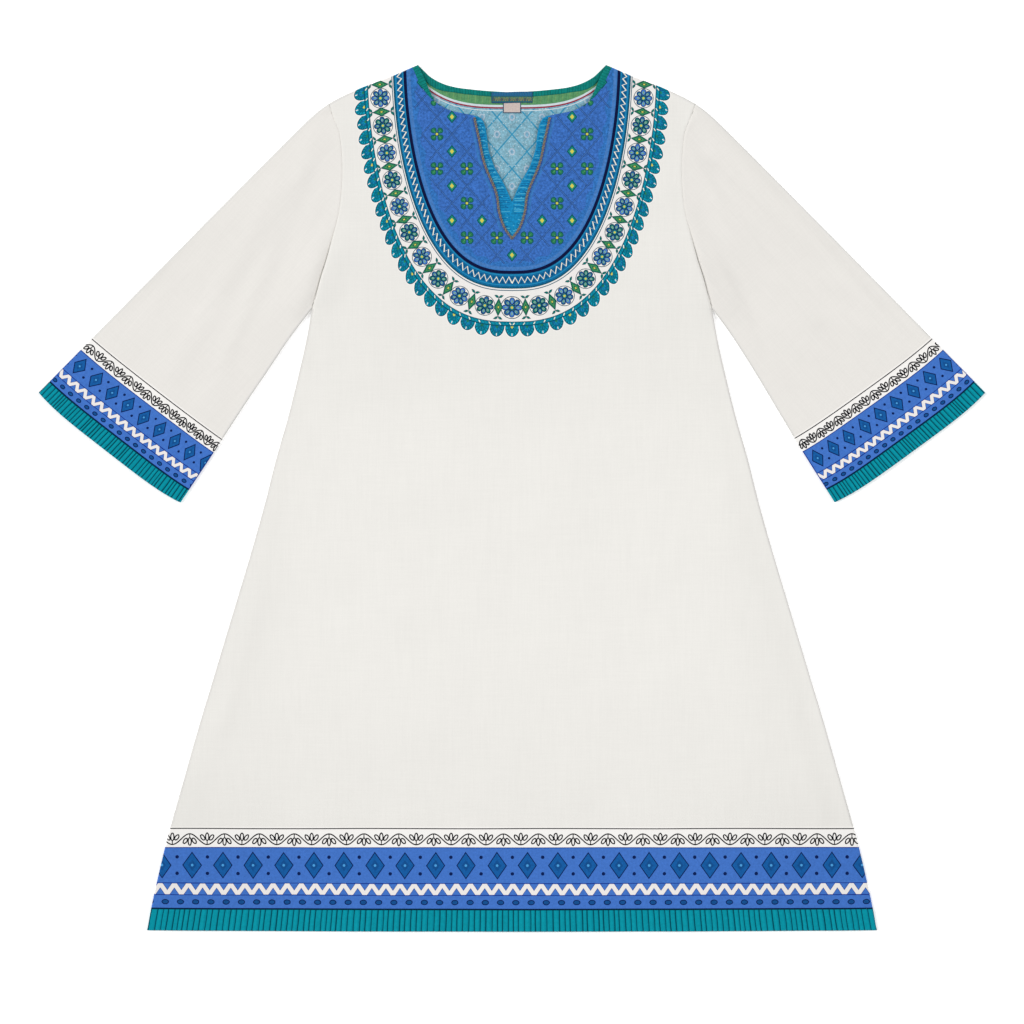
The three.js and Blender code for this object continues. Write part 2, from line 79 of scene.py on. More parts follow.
# ---------------------------------------------------------------- lines and distances
def curve(points, step):
    """A smooth line through the points, in steps of about that length."""
    p = np.asarray(points, float)
    e = np.vstack([2 * p[0] - p[1], p, 2 * p[-1] - p[-2]])
    out = []
    for i in range(1, len(e) - 2):
        a, b, c, d = e[i - 1 : i + 3]
        t0, t1, t2 = (math.sqrt(max(np.linalg.norm(v), 1e-9)) for v in (b - a, c - b, d - c))
        m1 = c - b + t1 * ((b - a) / t0 - (c - a) / (t0 + t1))
        m2 = c - b + t1 * ((d - c) / t2 - (d - b) / (t1 + t2))
        n = max(1, int(round(np.linalg.norm(c - b) / step)))
        u = (np.arange(n) / n)[:, None]
        out.append((2 * u**3 - 3 * u**2 + 1) * b + (u**3 - 2 * u**2 + u) * m1 + (3 * u**2 - 2 * u**3) * c + (u**3 - u**2) * m2)
    out.append(p[-1:])
    return np.vstack(out)


def lengths(line):
    return np.concatenate([[0.0], np.cumsum(np.linalg.norm(np.diff(line, axis=0), axis=1))])


def along(line, share):
    """Points at these shares of the line's length."""
    c = lengths(line)
    want = np.clip(share, 0, 1) * c[-1]
    return np.stack([np.interp(want, c, line[:, k]) for k in range(line.shape[1])], -1)


def evenly(line, step):
    n = max(1, int(round(lengths(line)[-1] / step)))
    return along(line, np.linspace(0, 1, n + 1))


def densify(loop, step):
    """A closed loop with no edge longer than step."""
    out = []
    for a, b in zip(loop, np.roll(loop, -1, 0)):
        n = max(1, int(math.ceil(np.linalg.norm(b - a) / step)))
        out.append(a + (b - a) * (np.arange(n) / n)[:, None])
    return np.vstack(out)


def distance(points, line):
    """How far each point is from the line."""
    a, ab = line[:-1], np.diff(line, axis=0)
    ll = np.maximum((ab**2).sum(1), 1e-12)
    out = np.empty(len(points))
    for i in range(0, len(points), 8192):
        p = points[i : i + 8192, None, :] - a
        t = np.clip((p * ab).sum(2) / ll, 0, 1)
        out[i : i + 8192] = np.sqrt(((p - t[..., None] * ab) ** 2).sum(2).min(1))
    return out


def signed_area(p):
    q = np.roll(p, -1, 0)
    return 0.5 * float((p[:, 0] * q[:, 1] - q[:, 0] * p[:, 1]).sum())


def ccw(p):
    p = np.asarray(p, float)
    return p if signed_area(p) > 0 else p[::-1]


def grow(loop, d, limit=2.2):
    """The loop moved out by d, or in if d is negative."""
    p = ccw(loop)
    e = np.roll(p, -1, 0) - p
    keep = (e**2).sum(1) > 1e-8
    p, e = p[keep], (np.roll(p[keep], -1, 0) - p[keep])
    e /= np.linalg.norm(e, axis=1)[:, None]
    n = np.stack([e[:, 1], -e[:, 0]], 1)
    b = np.roll(n, 1, 0)
    m = (n + b) / np.maximum(1 + (n * b).sum(1), 0.12)[:, None]
    size = np.linalg.norm(m, axis=1)
    m *= np.minimum(1, limit / np.maximum(size, 1e-9))[:, None]
    return p + m * d


def winding(loop, points):
    """How often the loop goes round each point."""
    a, b = loop, np.roll(loop, -1, 0)
    out = np.zeros(len(points), int)
    for i in range(0, len(points), 4096):
        x, y = points[i : i + 4096, 0][:, None], points[i : i + 4096, 1][:, None]
        left = (b[:, 0] - a[:, 0]) * (y - a[:, 1]) - (x - a[:, 0]) * (b[:, 1] - a[:, 1])
        up = (a[:, 1] <= y) & (b[:, 1] > y) & (left > 0)
        down = (a[:, 1] > y) & (b[:, 1] <= y) & (left < 0)
        out[i : i + 4096] = up.sum(1) - down.sum(1)
    return out


def smooth(v):
    t = np.clip(v, 0, 1)
    return t * t * (3 - 2 * t)


def rise(d, r):
    """A quarter-round step of radius r over a distance d from an edge."""
    t = np.clip(d, 0, r)
    return np.sqrt(np.maximum(r * r - (r - t) ** 2, 0))


def mirror(p, sign=-1):
    return np.asarray(p, float) * (sign, 1)


# ---------------------------------------------------------------- lines of the cut
SIDE_LINE = curve(SIDE_SEAM, 14)
ARMHOLE_LINE = curve(ARMHOLE, 5)
SHOULDER_LINE = curve(SHOULDER, 9)
SLEEVE_TOP_LINE = curve(SLEEVE_TOP, 14)
UNDER_LINE = {k: curve(v, 12) for k, v in SLEEVE_UNDER.items()}
TOP_LINE = np.vstack([SHOULDER_LINE, SLEEVE_TOP_LINE[1:]])
NECK_LINE = curve(FRONT_NECK, 2.5)
BACK_NECK_LINE = curve(BACK_NECK, 3.5)


def side_at(y):
    return np.interp(y, SIDE_LINE[:, 1], SIDE_LINE[:, 0])


def inside(p):
    """How far each point lies inside the folded outline."""
    q = np.abs(p) * (1, 0) + p * (0, 1)
    under = np.where(p[:, 0] >= 0, distance(q, UNDER_LINE[1]), distance(q, UNDER_LINE[-1]))
    return np.minimum(np.minimum(distance(q, TOP_LINE), under), distance(q, SIDE_LINE))


def to_armhole(p):
    return distance(np.abs(p) * (1, 0) + p * (0, 1), ARMHOLE_LINE)


def hem_y(x, v):
    """The height of a line v above the hem, which dips a little in the middle."""
    return -476.4 + v + 1.4 * (np.asarray(x) / 401) ** 2 * (1 - np.clip(v, 0, 114) / 114)


HEM_SEAM = 24.3


def sleeve_xy(sign, s, w):
    """Points of a sleeve at share s from armhole to cuff and share w from its top fold to its underarm."""
    s, w = np.broadcast_arrays(np.asarray(s, float), np.asarray(w, float))
    shape = s.shape
    s, w = s.ravel()[:, None], w.ravel()[:, None]
    under = UNDER_LINE[sign]
    t0, t1, u0, u1 = SLEEVE_TOP_LINE[0], SLEEVE_TOP_LINE[-1], under[0], under[-1]
    top, low, arm = along(SLEEVE_TOP_LINE, s[:, 0]), along(under, s[:, 0]), along(ARMHOLE_LINE[::-1], w[:, 0])
    chord = t1 + w * (u1 - t1)
    run = np.linalg.norm(u1 - t1)
    bow = CUFF_BOW * (1 - (2 * w - 1) ** 4)
    cuff = chord + bow / run * np.array([t1[1] - u1[1], -(t1[0] - u1[0])])
    p = (1 - w) * top + w * low + (1 - s) * (arm - (t0 + w * (u0 - t0))) + s * (cuff - chord)
    # beyond the folds the sheet runs straight on
    p = p + np.clip(w - 1, 0, None) * (u1 - t1) + np.clip(w, None, 0) * (u1 - t1)
    return (p * (sign, 1)).reshape(*shape, 2)


CUFF_WIDTH = {k: float(np.linalg.norm(v[-1] - SLEEVE_TOP[-1])) for k, v in SLEEVE_UNDER.items()}


def cuff_xy(sign, u, v):
    """Points u along a cuff from its top fold and v up from its edge. Its printed lines bow less than its edge does."""
    u, v = np.broadcast_arrays(np.asarray(u, float), np.asarray(v, float))
    w = u / CUFF_WIDTH[sign]
    wc = np.clip(w, 0, 1)
    first = 0.22 if sign > 0 else 0.46
    ease = np.interp(v, [0, 17, 83], [0, first, first + 0.28])
    v = v + CUFF_BOW * (1 - (2 * wc - 1) ** 4) * ease
    run = np.linalg.norm(sleeve_xy(sign, 0 * wc, wc) - sleeve_xy(sign, 0 * wc + 1, wc), axis=-1)
    return sleeve_xy(sign, 1 - v / run, w)


# ---------------------------------------------------------------- the drape: soft ridges and troughs
# Each row runs along a line and dies away over its spread. side 0 is drawn once, 1 or -1 on that side.
FOLDS = np.array([
    # side, x0, y0, x1, y1, spread, height
    (0, 0, 150, 0, -330, 190, 1.2),
    (-1, 250, 118, 286, -60, 12, 2.0),
    (-1, 280, -30, 322, -246, 14, 2.0),
    (-1, 300, 10, 352, -330, 9, -0.8),
    (1, 246, 70, 300, -150, 12, -2.9),
    (1, 300, -120, 352, -336, 14, -3.2),
    (1, 214, 150, 246, 20, 16, 1.0),
    (-1, 352, -400, 330, -300, 24, -1.3),
    (1, 352, -396, 320, -300, 26, -1.3),
    (1, 168, 330, 160, 150, 22, 0.9),
    (-1, 170, 320, 158, 130, 22, 0.9),
    (-1, 96, 118, 60, 10, 26, 0.9),
    (1, 70, 110, 40, -10, 24, 0.8),
    (-1, 209, 366, 296, 158, 10, -1.0),
    (-1, 226, 366, 318, 150, 10, 1.0),
    (-1, 238, 336, 352, 120, 11, -0.9),
    (-1, 262, 340, 372, 140, 12, 0.9),
    (-1, 226, 396, 420, 250, 16, 1.2),
    (-1, 350, 230, 440, 100, 16, -1.3),
    (1, 210, 404, 424, 232, 10, -2.4),
    (1, 222, 378, 400, 220, 11, 2.0),
    (1, 222, 356, 346, 214, 10, -2.2),
    (1, 226, 330, 330, 196, 10, 1.4),
    (1, 210, 292, 268, 196, 9, -2.3),
    (1, 300, 214, 424, 92, 15, -1.2),
    (1, 366, 240, 452, 150, 14, 1.2),
])
WAVES = [
    (ang, 2 * math.pi / wl, ph, h)
    for ang, wl, ph, h in (
        (0.35, 170, 0.4, 0.22), (1.30, 140, 1.9, 0.20), (2.20, 120, 3.1, 0.17), (0.05, 95, 4.0, 0.15),
        (2.85, 82, 0.9, 0.12), (1.75, 68, 5.2, 0.10), (0.75, 57, 2.6, 0.08), (2.45, 44, 1.2, 0.05))]


def drape(p, d):
    """Height of the lie of the cloth over its flat plane, nought at the folded edges."""
    z = np.zeros(len(p))
    for side, x0, y0, x1, y1, spread, height in FOLDS:
        s = side or 1
        a, b = np.array([s * x0, y0]), np.array([s * x1, y1])
        ab = b - a
        t = np.clip(((p - a) @ ab) / (ab @ ab), 0, 1)
        r2 = ((p - a - t[:, None] * ab) ** 2).sum(1)
        z += height * np.exp(-r2 / spread**2)
    for ang, k, ph, h in WAVES:
        z += h * np.sin(k * (p[:, 0] * math.cos(ang) + p[:, 1] * math.sin(ang)) + ph)
    z = z + 0.45
    return 0.5 * (z + np.sqrt(z * z + 0.25)) * smooth(d / 40)


LIP = 2.6  # how far the body stands over the sleeve beside the underarm


def crease(y):
    return smooth((312 - y) / 58) * smooth((y - 184) / 44)


def body_front(p):
    """Outer and inner height of the front of the body."""
    d, a = inside(p), to_armhole(p)
    seam = np.interp(np.abs(p[:, 0]), [0, 401], [-452.1, -451.0])
    top = FOLD_R + rise(d, FOLD_R) + drape(p, d)
    c = crease(p[:, 1])
    lip = rise(a, 3.2) / 3.2 * smooth(1 - (a - 3.2) / 30)
    top += LIP * c * lip * smooth(d / 5)
    top -= (0.5 * (1 - rise(a, 1.5) / 1.5) - 0.2 * np.exp(-(((a - 2.6) / 1.3) ** 2))) * smooth(d / 3) * (1 - c)
    low = np.maximum(top - CLOTH, np.where(d > 1.2, FOLD_R + 0.26, FOLD_R + 0.02))
    # the turned edge at the neck and slit, soft and a little lower
    n = distance(np.abs(p) * (1, 0) + p * (0, 1), NECK_LINE)
    top -= 0.55 * (1 - rise(n, 0.9) / 0.9) * (n < 0.9)
    top += 0.18 * np.exp(-(((n - 1.6) / 1.0) ** 2))
    # under the front bindings the panel thins
    nb = distance(np.abs(p) * (1, 0) + p * (0, 1), BINDING_EDGE)
    near = smooth((7.5 - nb) / 1.5) * (p[:, 1] > 438)
    top -= 0.55 * near
    # where it runs on under the hem edging
    under = smooth((seam - p[:, 1] + 0.15) / 0.5)
    near_seam = np.abs(p[:, 1] - seam)
    top -= 0.9 * (1 - rise(near_seam, 1.1) / 1.1) * (near_seam < 1.1) * smooth(d / 3)
    top = top * (1 - under) + under * (FOLD_R + 0.42 * smooth(d / 2))
    low = np.minimum(low, top - 0.06)
    low = low * (1 - under) + under * (FOLD_R + 0.05)
    top = np.maximum(top, low + 0.05)
    return top, low


def body_back(p):
    """Inner and outer height of the back of the body, which lies on the table."""
    d, a = inside(p), to_armhole(p)
    low = FOLD_R - rise(d, FOLD_R)
    window = smooth((70 - np.abs(p[:, 0])) / 26) * smooth((p[:, 1] - 272) / 26) * smooth((452 - p[:, 1]) / 12)
    low = low + 0.66 * window * smooth(d / 8)
    top = np.minimum(low + CLOTH + 0.35 * smooth(d / 4), FOLD_R - 0.02)
    top -= 0.35 * (1 - rise(a, 1.2) / 1.2) * smooth(d / 3)
    return np.maximum(top, low + 0.06), low


def sleeve_front(p):
    d, a = inside(p), to_armhole(p)
    body = beyond_armhole(p)
    c = crease(p[:, 1])
    top = FOLD_R + rise(d, FOLD_R) + drape(p, d)
    # beside the crease the sleeve swells, then turns steeply down against the body
    top += c * (4.4 * (1 - np.exp(-a / 4.6)) * smooth((46 - a) / 38) - 0.9) * smooth(d / 9) * ~body
    roll = 0.5 * (1 - rise(a, 1.5) / 1.5) - 0.2 * np.exp(-(((a - 2.6) / 1.3) ** 2))
    top -= np.where(body, 0, roll) * smooth(d / 3) * (1 - 0.6 * c)
    allow = FOLD_R + 0.16
    top = np.where(body, np.minimum(top, allow), top)
    low = np.maximum(top - CLOTH, FOLD_R + 0.02)
    low = np.minimum(low, top - 0.04)
    return top, low


def beyond_armhole(p):
    """True where a sleeve's seam allowance lies under the body."""
    ax = np.abs(p[:, 0])
    return ax < np.interp(p[:, 1], ARMHOLE_LINE[:, 1], ARMHOLE_LINE[:, 0]) - 0.05


def sleeve_back(p):
    d, a = inside(p), to_armhole(p)
    low = FOLD_R - rise(d, FOLD_R)
    top = np.minimum(low + CLOTH + 0.3 * smooth(d / 4), FOLD_R - 0.02)
    body = beyond_armhole(p)
    low = np.where(body, np.maximum(low, 1.1), low)
    top = np.where(body, np.maximum(top, 1.3), top)
    return np.maximum(top, low + 0.04), low


# ---------------------------------------------------------------- inks
# red, green, blue as they should look, and how much the print mottles
INKS = {
    "cloth": (238, 236, 231, 0.0), "ground": (241, 238, 235, 0.0), "white": (247, 244, 240, 0.0),
    "strip": (248, 246, 243, 0.0), "chev": (240, 236, 233, 0.02),
    "line": (18, 18, 24, 0.0), "hairline": (34, 34, 38, 0.0),
    "royal": (68, 117, 200, 0.30), "royal_edge": (22, 52, 140, 0.1), "royal_light": (84, 132, 208, 0.1),
    "mark": (22, 92, 162, 0.4), "mark_line": (8, 30, 84, 0.1), "mark_dot": (78, 160, 220, 0.1),
    # the rib inks other than rib itself are painted shade and a painted highlight of the ribs
    "rib": (4, 143, 160, 0.25), "rib_groove_shade": (0, 68, 82, 0.1), "rib_shade_side": (1, 129, 149, 0.2), "rib_highlight": (6, 149, 166, 0.2),
    "navy": (12, 20, 62, 0.15), "yoke": (60, 110, 188, 1.0), "yoke_mid": (52, 114, 186, 1.0), "yoke_edge": (60, 120, 188, 0.5),
    "yoke_dark": (44, 88, 156, 0.6), "speck": (26, 44, 108, 0.1), "sky": (72, 124, 190, 0.6),
    "turq": (20, 104, 154, 0.7), "turq_light": (34, 140, 188, 0.4), "turq_dark": (8, 78, 126, 0.3),
    "cream": (250, 244, 222, 0.0), "lime": (222, 230, 200, 0.1), "teal_line": (6, 84, 112, 0.1),
    "drop": (14, 126, 148, 0.5), "drop_line": (5, 76, 104, 0.1), "drop_blue": (20, 104, 160, 0.3),
    "leaf": (10, 134, 160, 0.5), "leaf_light": (10, 152, 178, 0.45), "leaf_line": (4, 82, 104, 0.1), "leaf_deep": (8, 104, 124, 0.4),
    # painted shade: the fold inks darken the cloth along its folded edges, and the two sleeve grounds are the cloth a
    # little darker
    "bud_blue": (34, 90, 150, 0.9), "bud_green": (20, 106, 104, 0.9), "bud_deep": (14, 78, 108, 0.5), "bud_mid": (30, 130, 142, 0.6), "bud_dark": (8, 58, 84, 0.2), "sea_light": (70, 176, 150, 0.3), "green_line": (28, 98, 88, 0.3), "green_mid": (58, 138, 70, 0.5), "mark_soft": (18, 48, 118, 0.2), "mark_low": (20, 80, 144, 0.4), "line_soft": (120, 118, 120, 0.0), "leaf_mid": (12, 126, 150, 0.5), "leaf_dark": (4, 88, 110, 0.3), "sleeve_far_shaded": (235, 232, 227, 0.0), "fold": (219, 217, 213, 0.0), "fold_shade_soft": (231, 229, 225, 0.0), "cyan_pale": (84, 178, 210, 0.2), "hatch": (220, 226, 238, 0.0), "sleeve": (236, 233, 228, 0.0), "bud_lime": (108, 158, 66, 0.4),
    "bud_pale": (140, 186, 190, 0.2), "bud_gold": (166, 176, 66, 0.3), "vine": (8, 68, 86, 0.1), "sprig": (16, 120, 108, 0.4),
    "green": (39, 124, 88, 1.0), "green_dark": (22, 84, 84, 0.3), "green_light": (84, 156, 86, 0.5), "gold": (214, 206, 84, 0.1),
    "sea": (24, 134, 122, 0.7), "sea_line": (12, 84, 84, 0.1),
    "cyan": (24, 134, 186, 0.8), "cyan_dark": (14, 96, 150, 0.3),
    "bind": (16, 127, 119, 0.6), "bind_dark": (8, 98, 92, 0.2), "bind_edge": (4, 78, 78, 0.1),
    "in_pale": (130, 176, 194, 0.9), "in_blue": (118, 166, 192, 0.7), "in_green": (92, 149, 101, 0.6), "in_olive": (114, 157, 101, 0.6),
    "in_edge": (170, 190, 206, 0.3), "in_white": (206, 220, 226, 0.2), "in_green_dark": (76, 134, 92, 0.4), "in_red": (150, 52, 70, 0.1), "in_line": (58, 146, 182, 0.2), "in_speck": (88, 152, 178, 0.2),
    "label_blue": (14, 100, 146, 0.4), "label_green": (26, 96, 104, 0.6), "label_gold": (150, 134, 58, 0.4),
    "label_lime": (116, 146, 84, 0.3), "label_brown": (104, 68, 52, 0.3), "ply_a": (128, 104, 112, 0.3), "ply_b": (104, 84, 96, 0.3), "ply_c": (150, 132, 92, 0.3), "ply_d": (112, 122, 110, 0.3), "label_edge": (14, 72, 112, 0.2), "tag_thread": (192, 174, 168, 0.2), "tag": (206, 190, 184, 0.3), "tag_edge": (38, 78, 104, 0.2),
}
INK_NAMES = list(INKS)


def linear(c):
    c = np.asarray(c, float) / 255
    return np.where(c <= 0.04045, c / 12.92, ((c + 0.055) / 1.055) ** 2.4)


INK_RGBA = np.array([[*(linear(INKS[n][:3]) / LIGHT), INKS[n][3]] for n in INK_NAMES])
INK_RGBA[:, :3] = np.clip(INK_RGBA[:, :3], 0, 0.93)


class Board:
    """Closed figures in painter's order, each in one ink, and guide lines that only shape the mesh."""

    def __init__(self):
        self.items, self.guides = [], []

    def fill(self, loop, ink):
        loop = ccw(loop)
        if len(loop) > 2 and signed_area(loop) > 0.02:
            self.items.append((loop, INK_NAMES.index(ink)))

    def outlined(self, loop, ink, line, width, halo=None, halo_width=0.0):
        """A figure with a drawn outline, and a bare halo of cloth round it."""
        if halo:
            self.fill(grow(loop, width / 2 + halo_width), halo)
        self.fill(grow(loop, width / 2), line)
        self.fill(grow(loop, -width / 2), ink)

    def stroke(self, line, width, ink, closed=False):
        """A line of that width, one number or one for each point."""
        p = np.asarray(line, float)
        if closed:
            self.fill(grow(p, width / 2), ink)
            return
        g = np.gradient(p, axis=0)
        g /= np.maximum(np.linalg.norm(g, axis=1), 1e-9)[:, None]
        n = np.stack([g[:, 1], -g[:, 0]], 1) * (np.broadcast_to(width, len(p)) / 2)[:, None]
        self.fill(np.vstack([p + n, (p - n)[::-1]]), ink)

    def ring(self, loop, outer, inner, ink, inside_ink):
        self.fill(grow(loop, outer), ink)
        self.fill(grow(loop, inner), inside_ink)


def oval(cx, cy, rx, ry=None, turn=0.0, n=14, rng=None, wobble=0.0):
    t = np.arange(n) / n * 2 * math.pi
    r = 1 + (rng.uniform(-wobble, wobble, n) if rng is not None else 0)
    x, y = r * rx * np.cos(t), r * (ry or rx) * np.sin(t)
    c, s = math.cos(turn), math.sin(turn)
    return np.stack([cx + c * x - s * y, cy + s * x + c * y], 1)


def spiral(cx, cy, r0, r1, a0, turns, n=26):
    """A spiral line from radius r0 at angle a0, clockwise for positive turns."""
    u = np.linspace(0, 1, n)
    a, r = a0 - u * turns * 2 * math.pi, r0 + (r1 - r0) * u
    return np.stack([cx + r * np.cos(a), cy + r * np.sin(a)], 1)


# ---------------------------------------------------------------- the neckline print
# Three rails from over the shoulder to the middle, each a plain full arch: half width, top and depth.
FRONT_ARCHES = ((118.0, 486.0, 238.0), (151.0, 478.0, 276.0), (180.0, 470.0, 306.0))
BACK_ARCHES = ((118.0, 486.0, 98.0), (151.0, 478.0, 136.0), (180.0, 470.0, 166.0))


def arches(rows, fullness=0.78, n=24):
    phi = np.linspace(0.0, math.pi / 2, n)
    cols = []
    for half, top, depth in rows:
        cols += [half * np.clip(np.cos(phi), 0, None) ** fullness, top - depth * np.sin(phi)]
    rails = np.column_stack(cols)
    rails[-1, ::2] = 0.0
    return rails


class Rails:
    def __init__(self, rows, sign):
        f = curve(rows, 3.0)
        self.n, self.c, self.t = (f[:, k : k + 2] * (sign, 1) for k in (0, 2, 4))
        self.s = lengths(self.c)
        self.total = self.s[-1]
        self.sign = sign

    def _at(self, rail, s):
        s = np.asarray(s, float)
        over = np.clip(s - self.total, 0, None) * self.sign  # runs on level past the middle
        return np.stack([np.interp(s, self.s, rail[:, 0]) - over, np.interp(s, self.s, rail[:, 1])], -1)

    def inner(self, s, f):
        """A point a share f of the way from the navy line to the chain."""
        n, c = self._at(self.n, s), self._at(self.c, s)
        return n + np.asarray(f)[..., None] * (c - n)

    def outer(self, s, b):
        """A point b outward of the middle of the chain."""
        c, t = self._at(self.c, s), self._at(self.t, s)
        d = t - c
        return c + np.asarray(b)[..., None] * d / np.linalg.norm(d, axis=-1)[..., None]

    def reach(self, s):
        return np.linalg.norm(self._at(self.t, s) - self._at(self.c, s), axis=-1)

    def stations(self, f, pitch, start=0.0):
        """Chain lengths at which a band at share f has come each pitch further."""
        g = np.linspace(0, self.total, 500)
        c = lengths(self.inner(g, f(g) if callable(f) else np.full(len(g), f)))
        return np.interp(np.arange(start, c[-1], pitch), c, g)

    def frame(self, s, f):
        """Origin, direction along the band and direction outward at a place on it."""
        near = max(s, 1.6)  # places before the shoulder line go on straight past it
        t = self.inner(near + 1.5, f) - self.inner(near - 1.5, f)
        p = self.inner(near, f) + (s - near) / 3.0 * t
        t = t / np.linalg.norm(t)
        o = np.array([-t[1], t[0]])
        if o @ (self.inner(near, 1.0) - self.inner(near, 0.0)) < 0:
            o = -o
        return p, t, o


def place(pts, at, tilt=0.0, size=1.0):
    """Local points (along, outward) put on a band, in drawing units."""
    p, t, o = at
    q = np.asarray(pts, float) * U * size
    c, s = math.cos(tilt), math.sin(tilt)
    return p + np.outer(c * q[:, 0] - s * q[:, 1], t) + np.outer(s * q[:, 0] + c * q[:, 1], o)


def from_middle(r, pitch, shift=0.0):
    """Chain lengths each pitch apart, counted back from the middle so that both sides meet."""
    return r.total - pitch * (np.arange(int((r.total + 8) / pitch)) + shift)


def strip(board, r, low, high, ink, n=150):
    """A plain band between two shares of the way from the first rail to the second."""
    g = np.linspace(0, r.total, n)
    board.fill(np.vstack([r.inner(g, g * 0 + low), r.inner(g, g * 0 + high)[::-1]]), ink)


def zigzag(board, r, rng, low=0.0, high=0.36, pitch=8.4):
    """A turquoise band with a cream zigzag and dark triangles in its notches."""
    strip(board, r, low - 0.02, high, "turq")
    g = np.linspace(0, r.total, 150)
    for f in (low + 0.065, high - 0.055):
        board.stroke(r.inner(g, g * 0 + f), 1.0 * U, "turq_light")
    a, b = low + 0.12, high - 0.10
    turns = from_middle(r, pitch / 2)
    board.stroke(np.array([r.inner(s, (a if i % 2 else b) + rng.uniform(-0.008, 0.008)) for i, s in enumerate(turns)]), 1.25 * U, "cream")
    for i, s in enumerate(turns):
        f0, f1 = (a, a + 0.09) if i % 2 == 0 else (b, b - 0.09)
        w = pitch * rng.uniform(0.15, 0.20)
        board.fill(np.array([r.inner(s - w, f0), r.inner(s + w, f0), r.inner(s, f1)]), "turq_dark")
    board.stroke(r.inner(g, g * 0 + high + 0.015), 1.3 * U, "leaf_line")
    board.stroke(r.inner(g, g * 0 + high + 0.075), 0.8 * U, "leaf_line")


PETAL = np.array([(0.0, 2.2), (1.25, 3.6), (2.35, 5.6), (2.2, 7.6), (1.1, 8.8), (0.0, 9.0), (-1.1, 8.8), (-2.2, 7.6), (-2.35, 5.6), (-1.25, 3.6)])


def turned(p, a):
    c, n = math.cos(a), math.sin(a)
    return np.asarray(p, float) @ np.array([[c, n], [-n, c]])


def rosette(board, at, size, ink, second, rng):
    """Eight round petals about a gold eye."""
    board.fill(place(oval(0, 0, 10.2, n=26), at, 0, size), "vine")
    board.fill(place(oval(0, 0, 9.5, n=26), at, 0, size), "white")
    start = rng.uniform(-0.1, 0.1)
    for k in range(8):
        a = start + k * math.pi / 4
        q = PETAL * (rng.uniform(0.93, 1.06), rng.uniform(0.95, 1.01))
        board.outlined(place(turned(q, a), at, 0, size), ink if k % 2 else second, "bud_dark", 0.7 * U)
        for w in (-0.7, 0.0, 0.7):
            line = np.array([(w * 0.6, 4.0), (w, 5.8), (w * 0.9, 7.4 - abs(w))])
            board.stroke(place(turned(line, a), at, 0, size), np.array([0.3, 0.7, 0.3]) * U, "bud_pale" if w else "bud_lime")
    board.fill(place(oval(0, 0, 3.0, n=14, rng=rng, wobble=0.05), at, 0, size), "bud_dark")
    board.fill(place(oval(0, 0, 2.2, n=12, rng=rng, wobble=0.06), at, 0, size), "bud_mid")
    board.fill(place(oval(0, 0, 1.2, n=9, rng=rng, wobble=0.08), at, 0, size), "gold")


def lozenge(board, at, rng):
    """A tall green diamond with a lighter heart and a leaf at head and foot."""
    k = rng.uniform(0.96, 1.04)
    q = np.array([(0, -8.2), (3.9, 0), (0, 8.2), (-3.9, 0)]) * k
    board.outlined(place(q, at), "green", "green_dark", 0.9 * U)
    board.fill(place(q * 0.58, at), "green_light")
    board.fill(place(q * 0.40, at), "green_dark")
    board.fill(place(oval(0, 0, 0.8, 1.2, n=8), at), "gold")
    for e in (-1, 1):
        for w in (-1, 1):
            leaf = np.array([(0.3, 9.0), (2.4, 9.4), (4.2, 11.4), (2.2, 11.6), (0.6, 10.6)]) * (w, e) * k
            board.outlined(place(leaf, at), "sprig", "vine", 0.5 * U)


def rosettes(board, r, rng, f=0.84, pitch=31.0, middle=True):
    """Single rosettes with a diamond between each two."""
    for i, s in enumerate(from_middle(r, pitch)):
        if i or middle:
            inks = ("bud_blue", "royal") if i % 2 == 0 else ("bud_green", "bud_blue")
            rosette(board, r.frame(s, f), 1.12 if i == 0 else rng.uniform(0.97, 1.02), *inks, rng)
    for s in from_middle(r, pitch, 0.5):
        lozenge(board, r.frame(s, f), rng)


def rope(board, r, rng, low=8.6, high=12.6, pitch=3.6):
    """A narrow band of slanting strokes."""
    g = np.linspace(0, r.total, 150)
    board.fill(np.vstack([r.outer(g, g * 0 + low), r.outer(g, g * 0 + high)[::-1]]), "leaf_mid")
    for b in (low, high):
        board.stroke(r.outer(g, g * 0 + b), 0.9 * U, "leaf_line")
    for i, s in enumerate(from_middle(r, pitch, 0.5)):
        q = r.outer(np.array([s - 0.9, s + 0.9]), np.array([low + 0.9, high - 0.9]))
        board.stroke(q, rng.uniform(0.8, 1.1), "leaf_light" if i % 3 else "cream")


def fans(board, r, rng, base=13.0, pitch=15.4, middle=True):
    """Round fans side by side, each with a rim, an inner shell and rays."""
    t = np.linspace(0, math.pi, 15)
    for i, s in enumerate(from_middle(r, pitch)):
        if i == 0 and not middle:
            continue
        w, h = pitch * 0.475, rng.uniform(10.8, 11.8)

        def arc(k, lift=0.0):
            return r.outer(s + k * w * np.cos(t), base + lift + k * h * np.sin(t))

        board.outlined(arc(1.0), "leaf" if i % 2 else "leaf_light", "leaf_line", 0.9 * U, "white", 0.9 * U)
        board.fill(arc(0.66, 0.3), "leaf_deep")
        board.fill(arc(0.56, 0.3), "turq" if i % 2 else "leaf_mid")
        for a in (0.45, 0.8, 1.15, 1.57, 1.99, 2.34, 2.69):
            k = np.array([0.70, 0.94])
            board.stroke(r.outer(s + k * w * math.cos(a), base + k * h * math.sin(a)), 0.75 * U, "leaf_line" if a != 1.57 else "white")
        for a in (0.8, 1.57, 2.34):
            k = np.array([0.12, 0.50])
            board.stroke(r.outer(s + k * w * math.cos(a), base + 0.3 + k * h * math.sin(a)), 0.7 * U, "leaf_light" if i % 2 else "leaf_dark")
        board.fill(r.outer(s + 0.2 * w * np.cos(t), base + 0.3 + 0.2 * h * np.sin(t)), "gold" if i % 4 == 0 else "green")


